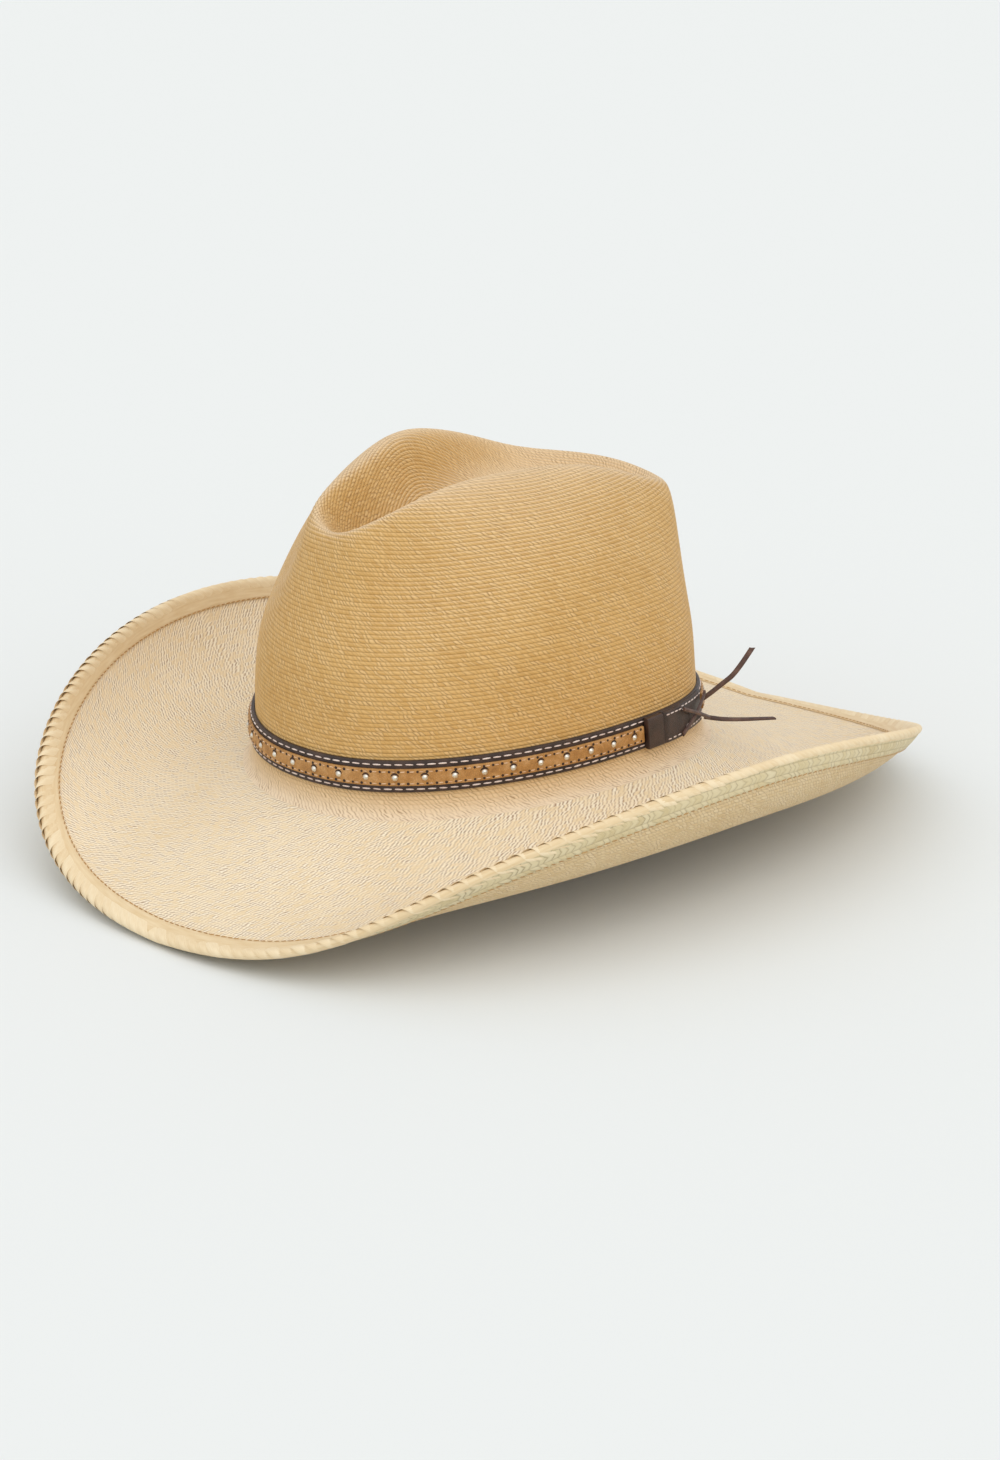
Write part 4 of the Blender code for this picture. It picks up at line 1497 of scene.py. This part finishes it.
@dataclass
class HatBand:
    """Dark leather band with a tooled tan inlay, stitches, punched dots and studs."""

    form: HatForm
    repeater: Repeater
    low: float = 9.0 * MM
    high: float = 22.7 * MM
    fit: float = 0.4 * MM
    backing: float = 1.4 * MM
    inlay_height: float = 7.2 * MM
    inlay: tuple[float, float] = (2.05 * MM, 3.05 * MM)
    inlay_span: tuple[float, float] = (129.0, 456.0)
    stud_count: int = 45
    stud_span: tuple[float, float] = (134.0, 453.0)
    margin: float = 1.55 * MM       # stitches in from the band's edges
    stitch_pitch: float = 4.7 * MM
    punch_row: float = 2.55 * MM    # punched rows either side of the middle
    punch_pitch: float = 4.0 * MM

    @property
    def middle(self) -> float:
        """Height of the band's middle above the break."""
        return 0.5 * (self.low + self.high)

    def build(self, dark: Material, tan: Material, thread: Material, fine: Material,
              hole: Material, metal: Material) -> None:
        """Make the band with all that is set on it.

        Args:
            dark: Finish of the backing.
            tan: Finish of the inlay.
            thread: Finish of the edge stitches.
            fine: Finish of the small stitches on the inlay.
            hole: Finish of the punched marks and of the crescents, which are painted shadows above the
                studs.
            metal: Finish of the studs.
        """
        phi = np.arange(300) * TURN / 300
        ring = strap_section(self.low, self.high, self.fit, self.fit + self.backing,
                             0.45 * MM, 0.12 * MM)
        mesh = swept_mesh("band_leather", self.form.wall(phi, ring[:, 0], ring[:, 1]), True)
        finished("band_leather", mesh, dark, Body.BAND, ("band_backing",))
        phi = self.form.even_angles(*self.inlay_span, 2.0 * MM)
        half = 0.5 * self.inlay_height
        ring = strap_section(self.middle - half, self.middle + half, *self.inlay, 0.35 * MM,
                             0.12 * MM)
        mesh = swept_mesh("band_tooled_inlay", self.form.wall(phi, ring[:, 0], ring[:, 1]),
                          False)
        finished("band_tooled_inlay", mesh, tan, Body.BAND, ("band_inlay",))
        surface = self.fit + self.backing + 0.12 * MM
        stitch = SmallShapes.lens(3.6 * MM, 0.72 * MM, 0.6 * MM)
        for name, height, seed in (("band_stitches_lower", self.low + self.margin, 51),
                                   ("band_stitches_upper", self.high - self.margin, 52)):
            self._row(name, stitch, (127.6, 455.8), self.stitch_pitch, height, surface,
                      thread, seed, 0.06, 0.05)
        self._punching(fine, hole)
        self._studs(metal, hole)

    def _row(self, name: str, shape: Mesh, span: tuple[float, float], pitch: float,
             height: float, distance: float, material: Material, seed: int,
             size_jitter: float = 0.0, turn_jitter: float = 0.0, whole: int | None = None,
             nodes: tuple[str, ...] = (), slot: str | None = None) -> None:
        """Repeat a shape along the band at one height.

        Args:
            name: The piece's name.
            shape: The small shape.
            span: First and last angle in degrees.
            pitch: Spacing in metres.
            height: Height above the break.
            distance: Distance outside the wall.
            material: The finish.
            seed: Seed of the small differences.
            size_jitter: Largest change of size, as a share.
            turn_jitter: Largest turn, in radians.
            whole: A fixed number of places instead of a spacing.
            nodes: CAD nodes that the row stands for.
            slot: Not used.
        """
        phi = self.form.even_angles(*span, pitch, whole)
        places = self.form.wall(phi, np.array([height]), np.array([distance]))[:, 0]
        along, face = self.form.wall_frame(phi)
        mesh = self.repeater.row(name, shape, places, along, face, material, seed,
                                 size_jitter, turn_jitter)
        finished(name, mesh, material, Body.BAND, nodes)

    def _punching(self, fine: Material, hole: Material) -> None:
        """Punch two rows of dots in the inlay, with a short stitch between each two.

        Args:
            fine: Finish of the stitches.
            hole: Finish of the dots.
        """
        dot = SmallShapes.turned(((0.62 * MM, -0.1 * MM), (0.58 * MM, 0.04 * MM),
                                  (0.3 * MM, 0.02 * MM), (0.0, 0.0)), 10)
        stitch = SmallShapes.lens(1.9 * MM, 0.5 * MM, 0.4 * MM)
        start, end = 130.5, 455.0
        half_step = 1.15
        surface = self.inlay[1] + 0.06 * MM
        for label, side, seed in (("lower", -1.0, 61), ("upper", 1.0, 62)):
            height = self.middle + side * self.punch_row
            self._row(f"band_dots_{label}", dot, (start, end), self.punch_pitch, height,
                      surface, hole, seed, 0.12)
            self._row(f"band_fine_stitches_{label}", stitch,
                      (start + half_step, end - half_step), self.punch_pitch, height,
                      surface, fine, seed + 10, 0.12, 0.12)

    def _studs(self, metal: Material, hole: Material) -> None:
        """Set the domed studs, each under a dark crescent that is a painted shadow.

        Args:
            metal: Finish of the studs.
            hole: Finish of the crescents, which paint the shadow above each stud.
        """
        profile = ((1.25, -0.15), (1.25, 0.16), (1.13, 0.28), (1.03, 0.30), (0.94, 0.46),
                   (0.76, 0.68), (0.48, 0.84), (0.22, 0.90), (0.0, 0.92))
        stud = SmallShapes.turned(tuple((r * MM, z * MM) for r, z in profile), 18)
        names = tuple(f"band_stud_{index:02d}" for index in range(1, self.stud_count + 1))
        seat = self.inlay[1] + 0.13 * MM
        self._row("band_studs", stud, self.stud_span, 0.0, self.middle, seat, metal, 71,
                  0.03, 0.0, self.stud_count, names, "stud_metal")
        # a dark crescent over each stud paints the stud's shadow
        arc = SmallShapes.crescent(1.75 * MM, 0.8 * MM, 0.12 * MM, 15.0, 165.0)
        self._row("stud_crescents", arc, self.stud_span, 0.0, self.middle,
                  self.inlay[1] + 0.1 * MM, hole, 72, 0.06, 0.1, self.stud_count)


@dataclass
class StrapClosure:
    """Keeper, pointed tip, straight strap end and crossed lace on the wearer's left."""

    form: HatForm
    band: HatBand
    thick: float = 1.1 * MM
    gap: float = 0.35 * MM
    keeper: tuple[float, float] = (96.5, 102.0)
    tip: tuple[float, float, float] = (102.3, 109.5, 114.8)
    nose: float = 2.0 * MM
    end: tuple[float, float] = (102.3, 126.0)
    cross: tuple[float, float] = (109.0, 125.5)
    lace_width: float = 2.3 * MM
    lace_thick: float = 0.8 * MM
    edge_round: float = 0.35 * MM
    stitch_in: float = 1.35 * MM
    stitch_run: float = 2.6 * MM

    def build(self, smooth: Material, stitched: Material, lace: Material,
              thread: Material) -> None:
        """Make the four parts of the closure and their stitches.

        Args:
            smooth: Finish of the keeper.
            stitched: Finish of the two straps.
            lace: Finish of the lace.
            thread: Finish of the stitches.
        """
        middle = self.band.middle
        half = 0.5 * (self.band.high - self.band.low)
        first = self.band.fit + self.band.backing + self.gap
        second = first + self.thick + self.gap
        phi = np.radians(np.linspace(*self.end, 36))
        reach = np.full(len(phi), half)
        self._strap("strap_straight_end", phi, middle, reach, first, stitched, "strap_end")
        line = phi[(np.degrees(phi) > self.tip[0]) & (np.degrees(phi) < self.end[1] - 0.6)]
        self._stitches("strap_end_stitches", line, middle,
                       np.full(len(line), half - self.stitch_in), first + self.thick, thread)
        phi = np.radians(np.union1d(np.linspace(self.tip[0], self.tip[2], 22), self.tip[1]))
        share = np.clip((np.degrees(phi) - self.tip[1]) / (self.tip[2] - self.tip[1]), 0, 1)
        reach = half + (self.nose - half) * share
        self._strap("strap_pointed_tip", phi, middle, reach, second, stitched, "strap_tip")
        inside = phi[1:-3]
        self._stitches("strap_tip_stitches", inside, middle, reach[1:-3] - self.stitch_in,
                       second + self.thick, thread)
        self._keeper(smooth, middle, half, first, second + self.thick)
        self._crosses(lace, middle, half, second + self.thick + self.gap)

    def _strap(self, name: str, phi: Array, middle: float, reach: Array, inner: float,
               material: Material, node: str) -> None:
        """Make one strap whose half height may change along it.

        Args:
            name: The piece's name.
            phi: Angles of its stations.
            middle: Height of its middle above the break.
            reach: Half height at each station.
            inner: Distance of its inner face outside the wall.
            material: The finish.
            node: The CAD node that it stands for.
        """
        rings = np.array([strap_section(middle - r, middle + r, inner, inner + self.thick,
                                        self.edge_round, 0.15 * MM) for r in reach])
        easing = np.array([0.45, 0.12] + [0.0] * (len(phi) - 4) + [0.12, 0.45]) * MM
        rings[:, 1:-1, 1] -= easing[:, None]
        points = self.form.wall(phi, rings[:, :, 0], rings[:, :, 1])
        finished(name, swept_mesh(name, points, False), material, Body.BAND, (node,))

    def _stitches(self, name: str, phi: Array, middle: float, reach: Array, distance: float,
                  material: Material) -> None:
        """Sew two rows of stitches that follow a strap's edges.

        Args:
            name: The piece's name.
            phi: Angles along the rows.
            middle: Height of the strap's middle.
            reach: Half height of the rows at each angle.
            distance: Distance of the surface outside the wall.
            material: Finish of the thread.
        """
        places, along, faces = [], [], []
        for side in (-1.0, 1.0):
            line = self.form.wall(phi, (middle + side * reach)[:, None],
                                  np.array([distance]))[:, 0]
            length = lengths(line)
            count = max(2, round(length[-1] / (self.stitch_run * 1.35)))
            wanted = (np.arange(count) + 0.5) * length[-1] / count
            even = on_line(wanted, length, line)
            places.append(even)
            along.append(unit(on_line(wanted + 0.5 * MM, length, line) - even))
            faces.append(self.form.wall_frame(np.interp(wanted, length, phi))[1])
        shape = SmallShapes.lens(self.stitch_run, 0.66 * MM, 0.5 * MM)
        mesh = self.band.repeater.row(name, shape, np.concatenate(places),
                                      np.concatenate(along), np.concatenate(faces), material,
                                      81, 0.06, 0.05)
        finished(name, mesh, material, Body.BAND)

    def _keeper(self, material: Material, middle: float, half: float, inner: float,
                outer: float) -> None:
        """Make the smooth keeper, a thick folded tab level with the band.

        Args:
            material: The finish.
            middle: Height of the straps' middle.
            half: Half their height.
            inner: Distance of its inner face outside the wall.
            outer: Distance of its outer face.
        """
        ring = strap_section(middle - half, middle + half, inner, outer, 0.7 * MM, 0.2 * MM)
        phi = np.radians(np.linspace(*self.keeper, 14))
        points = self.form.wall(phi, ring[:, 0], ring[:, 1])
        piece = finished("strap_keeper_loop", swept_mesh("strap_keeper_loop", points, False),
                         material, Body.BAND, ("strap_keeper",))
        rounding = piece.modifiers.new("rounding", "BEVEL")
        rounding.width = 0.3 * MM
        rounding.segments = 2
        rounding.limit_method = "ANGLE"
        rounding.angle_limit = math.radians(50.0)

    def _crosses(self, material: Material, middle: float, half: float, layer: float) -> None:
        """Cross the flat lace over itself on the nose of the tip.

        Args:
            material: The finish.
            middle: Height of the straps' middle.
            half: Half their height.
            layer: Distance of the lower lace's inner face.
        """
        phi = np.radians(np.linspace(*self.cross, 20))
        drop = (half - 1.0 * MM) * np.linspace(1.0, -1.0, 20)
        slant = 0.4 * self.lace_width
        for name, sign, lift in (("lace_cross_under", -1.0, 0.0),
                                 ("lace_cross_over", 1.0, self.lace_thick + self.gap)):
            inner = layer + lift
            rings = np.array([strap_section(middle + sign * d - slant,
                                            middle + sign * d + slant, inner,
                                            inner + self.lace_thick, 0.3 * MM, 0.12 * MM)
                              for d in drop])
            points = self.form.wall(phi, rings[:, :, 0], rings[:, :, 1])
            piece = name.replace("cross", "crossing")
            finished(piece, swept_mesh(piece, points, False), material, Body.BAND, (name,))


@dataclass
class LaceTails:
    """The two free ends of the lace, flat thongs cut on a slant."""

    width: float = 2.3 * MM
    thick: float = 1.05 * MM
    samples: int = 28
    cut: float = 1.6 * MM
    upper: tuple[tuple[float, float, float], ...] = (
        (76.6, 62.2, 54.9), (79.4, 65.8, 58.1), (81.8, 69.6, 61.3), (84.1, 73.4, 64.5),
        (85.8, 77.5, 69.1), (87.8, 83.2, 76.3))
    lower: tuple[tuple[float, float, float], ...] = (
        (77.4, 62.2, 46.7), (84.0, 66.9, 45.9), (90.2, 72.9, 45.6), (96.8, 79.4, 45.7),
        (100.9, 83.4, 45.8))

    def build(self, material: Material) -> None:
        """Make both tails.

        Args:
            material: Finish of the lace.
        """
        for name, node, route, lean in (
                ("lace_thong_upper", "lace_tail_upper", self.upper, (0.75, -0.55, 0.25)),
                ("lace_thong_lower", "lace_tail_lower", self.lower, (0.15, -0.35, 0.93))):
            line = smooth_route(np.array(route) * MM, self.samples)
            mesh = self._thong(name, line, np.array(lean))
            piece = finished(name, mesh, material, Body.BAND, (node,))

    def _thong(self, name: str, line: Array, lean: Array) -> Mesh:
        """Sweep a flat rounded section along a line.

        Args:
            name: The mesh's name.
            line: Points of the middle line.
            lean: Direction that the flat face looks towards.

        Returns:
            The closed mesh.
        """
        tangent = unit(np.gradient(line, axis=0))
        twist = np.linspace(-0.25, 0.35, len(line))
        sections = []
        for k, (point, ahead) in enumerate(zip(line, tangent)):
            side = unit(np.cross(ahead, lean))
            face = np.cross(side, ahead)
            turned = side * math.cos(twist[k]) + face * math.sin(twist[k])
            upward = face * math.cos(twist[k]) - side * math.sin(twist[k])
            slant = self.cut if k == len(line) - 1 else 0.0
            loop = []
            for x, y in ((-0.5, 0.0), (-0.42, 0.38), (-0.15, 0.5), (0.15, 0.5), (0.42, 0.38),
                         (0.5, 0.0), (0.42, -0.38), (0.0, -0.5), (-0.42, -0.38)):
                loop.append(point + turned * (x * self.width) + upward * (y * self.thick)
                            + ahead * (slant * (x - 0.5)))
            sections.append(loop)
        return swept_mesh(name, np.array(sections), False)


# ---------------------------------------------------------------- studio

def toward(azimuth: float, elevation: float) -> Vector:
    """Unit vector towards an azimuth from -Y and an elevation, both in degrees."""
    a, e = math.radians(azimuth), math.radians(elevation)
    return Vector((math.sin(a) * math.cos(e), -math.cos(a) * math.cos(e), math.sin(e)))


@dataclass(frozen=True)
class Studio:
    """Camera, soft overhead light and a plain pale floor."""

    azimuth: float = 44.04
    elevation: float = 20.357
    roll: float = -1.16
    distance: float = 1.5
    lens: float = 83.57             # millimetres, for a 36 mm long side
    shift_right: float = 0.011876
    shift_up: float = 0.001781
    aim: tuple[float, float, float] = (0.0, -0.0042, 0.0385)
    paper: str = "#E7EAE9"

    def camera(self) -> None:
        """Set the camera."""
        a, r = math.radians(self.azimuth), math.radians(self.roll)
        back = toward(self.azimuth, self.elevation)
        right = Vector((math.cos(a), math.sin(a), 0.0))
        up = back.cross(right)
        across = right * math.cos(r) + up * math.sin(r)
        above = up * math.cos(r) - right * math.sin(r)
        eye = (Vector(self.aim) + across * self.shift_right + above * self.shift_up
               + back * self.distance)
        lens = bpy.data.cameras.new("studio_camera")
        lens.sensor_width = 36.0
        lens.lens = self.lens
        lens.clip_start, lens.clip_end = 0.05, 100.0
        camera = bpy.data.objects.new("studio_camera", lens)
        bpy.context.scene.collection.objects.link(camera)
        turn = Matrix((across, above, back)).transposed().to_4x4()
        camera.matrix_world = Matrix.Translation(eye) @ turn
        bpy.context.scene.camera = camera

    def light(self) -> None:
        """Set the sky, the two soft lamps and the view transform."""
        scene = bpy.context.scene
        scene.view_settings.view_transform = "Standard"
        world = bpy.data.worlds.new("studio_sky")
        world.use_nodes = True
        sky = world.node_tree.nodes["Background"]
        sky.inputs["Color"].default_value = linear("#FFFFFF")
        sky.inputs["Strength"].default_value = 0.76
        scene.world = world
        for name, strength, softness, azimuth, elevation in (
                ("key", 0.68, 80.0, 15.0, 62.0), ("fill", 0.66, 60.0, 85.0, 38.0)):
            lamp = bpy.data.lights.new(name, "SUN")
            lamp.energy = strength
            lamp.angle = math.radians(softness)
            item = bpy.data.objects.new(name, lamp)
            item.rotation_euler = toward(azimuth, elevation).to_track_quat(
                "Z", "Y").to_euler()
            scene.collection.objects.link(item)

    def floor(self) -> None:
        """Lay the floor, a sheet of matt paper."""
        half = 20.0
        mesh = bpy.data.meshes.new("studio_floor")
        mesh.from_pydata([(-half, -half, 0.0), (half, -half, 0.0), (half, half, 0.0),
                          (-half, half, 0.0)], [], [(0, 1, 2, 3)])
        mesh.materials.append(MattPaper("matt_paper", self.paper).material())
        item = bpy.data.objects.new("studio_floor", mesh)
        item.location.z = -0.0005
        bpy.context.scene.collection.objects.link(item)


def main() -> None:
    """Build the studio and every sub-assembly in order."""
    logging.basicConfig(level=logging.INFO, format="%(message)s")
    studio = Studio()
    studio.camera()
    lace = Leather("waxed_lace", "#5B3F35", "#7A5A4A", "#3C2922", 0.6, 4.0, 0.5)
    LaceTails().build(lace.material())

    form, repeater = HatForm(), Repeater()
    # The crown's faces that look up are painted paler as a highlight.
    crown = PalmPlait("sewn_palm_crown", "#EAC88F", "#D7AD6A", "#B88843", "#85561F",
                      highlight_and_foot_tone="#F3DFC2", painted_top_highlight=0.5, foot_courses=9.0, gap_line=0.5,
                      relief_mm=0.32, rare=2.0, narrow=0.6, straw_tone=0.3)
    top = PalmPlait("sewn_palm_brim", "#FCF4E0", "#F6E5C5", "#DFC392", "#84521C",
                    gap_line=0.06, gap_spot=1.0, relief_mm=0.10, course_depth=0.3,
                    rare=0.9, narrow=0.45, sway=1.2, straw_tone=0.4)
    # a darker copy of the brim's straw for the underside: painted shade under the brim
    under = PalmPlait("sewn_palm_underside", "#F0DDBA", "#DFC496", "#C09860", "#94672F",
                      gap_line=0.3)
    hem = PalmPlait("hem_herringbone", "#E9DEC0", "#D9C89E", "#B9A06C", "#7E6438",
                    weave=Weave.CHEVRON, slant=1.1, gap_line=0.35)
    StrawCrown(form).build(crown.material())
    brim = StrawBrim(form)
    brim.line_underside(brim.build(top.material()), under.material())
    whip = Whipping("whipped_palm", "#F3E2C0", "#D9BA88")
    leaf = Whipping("folded_palm_leaf", "#F2E0BD", "#D2B17C", 1.3)
    sewn = Thread("brown_hem_thread", "#C39656", "#99692F")
    EdgeBinding(form, brim, repeater).build(leaf.material(), hem.material(),
                                            whip.material(), sewn.material())
    wire = Metal("drawn_spring_wire", "#B8B8B4", "#8E8E8A")
    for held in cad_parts["brim_edge_wire"].material_slots:
        held.material = wire.material()

    sweat = Leather("sweat_leather", "#8A5B38", "#A0704A", "#6B432A", 1.1, 12.0, 0.55)
    tape = Leather("sewn_tape", "#5E4331", "#6F5240", "#463023", 0.5, 5.0, 0.8)
    pale = Thread("waxed_pale_thread", "#F2E4DC", "#D3B8AB")
    pale_thread = pale.material()
    SweatBand(form, repeater).build(sweat.material(), tape.material(), pale_thread)

    dark = Leather("dark_band_leather", "#3A2821", "#4E3930", "#261914")
    tan = Leather("tooled_tan_leather", "#C08A48", "#D3A268", "#A67234", 0.7, 4.5, 0.5)
    smooth = Leather("keeper_leather", "#3C271F", "#4E362B", "#2A1B15", 0.5, 6.0, 0.38, 0.04)
    fine = Thread("tan_fine_thread", "#E9CDAA", "#C69A72")
    # dark leather for the punched dots and for the painted shadows above the studs
    punch_and_shadow_leather = Leather("punch_marks_and_stud_shadows", "#3A2214", "#4A2D1B", "#24140B", 0.4, 2.0, 0.7)
    studs = Metal("nickel_studs", "#F2EEE4", "#CFC8BA")
    band = HatBand(form, repeater)
    dark_leather = dark.material()
    band.build(dark_leather, tan.material(), pale_thread, fine.material(), punch_and_shadow_leather.material(),
               studs.material())
    StrapClosure(form, band).build(smooth.material(), dark_leather, lace.material(),
                                   pale_thread)
    studio.light()
    studio.floor()


if __name__ == "__main__":
    main()
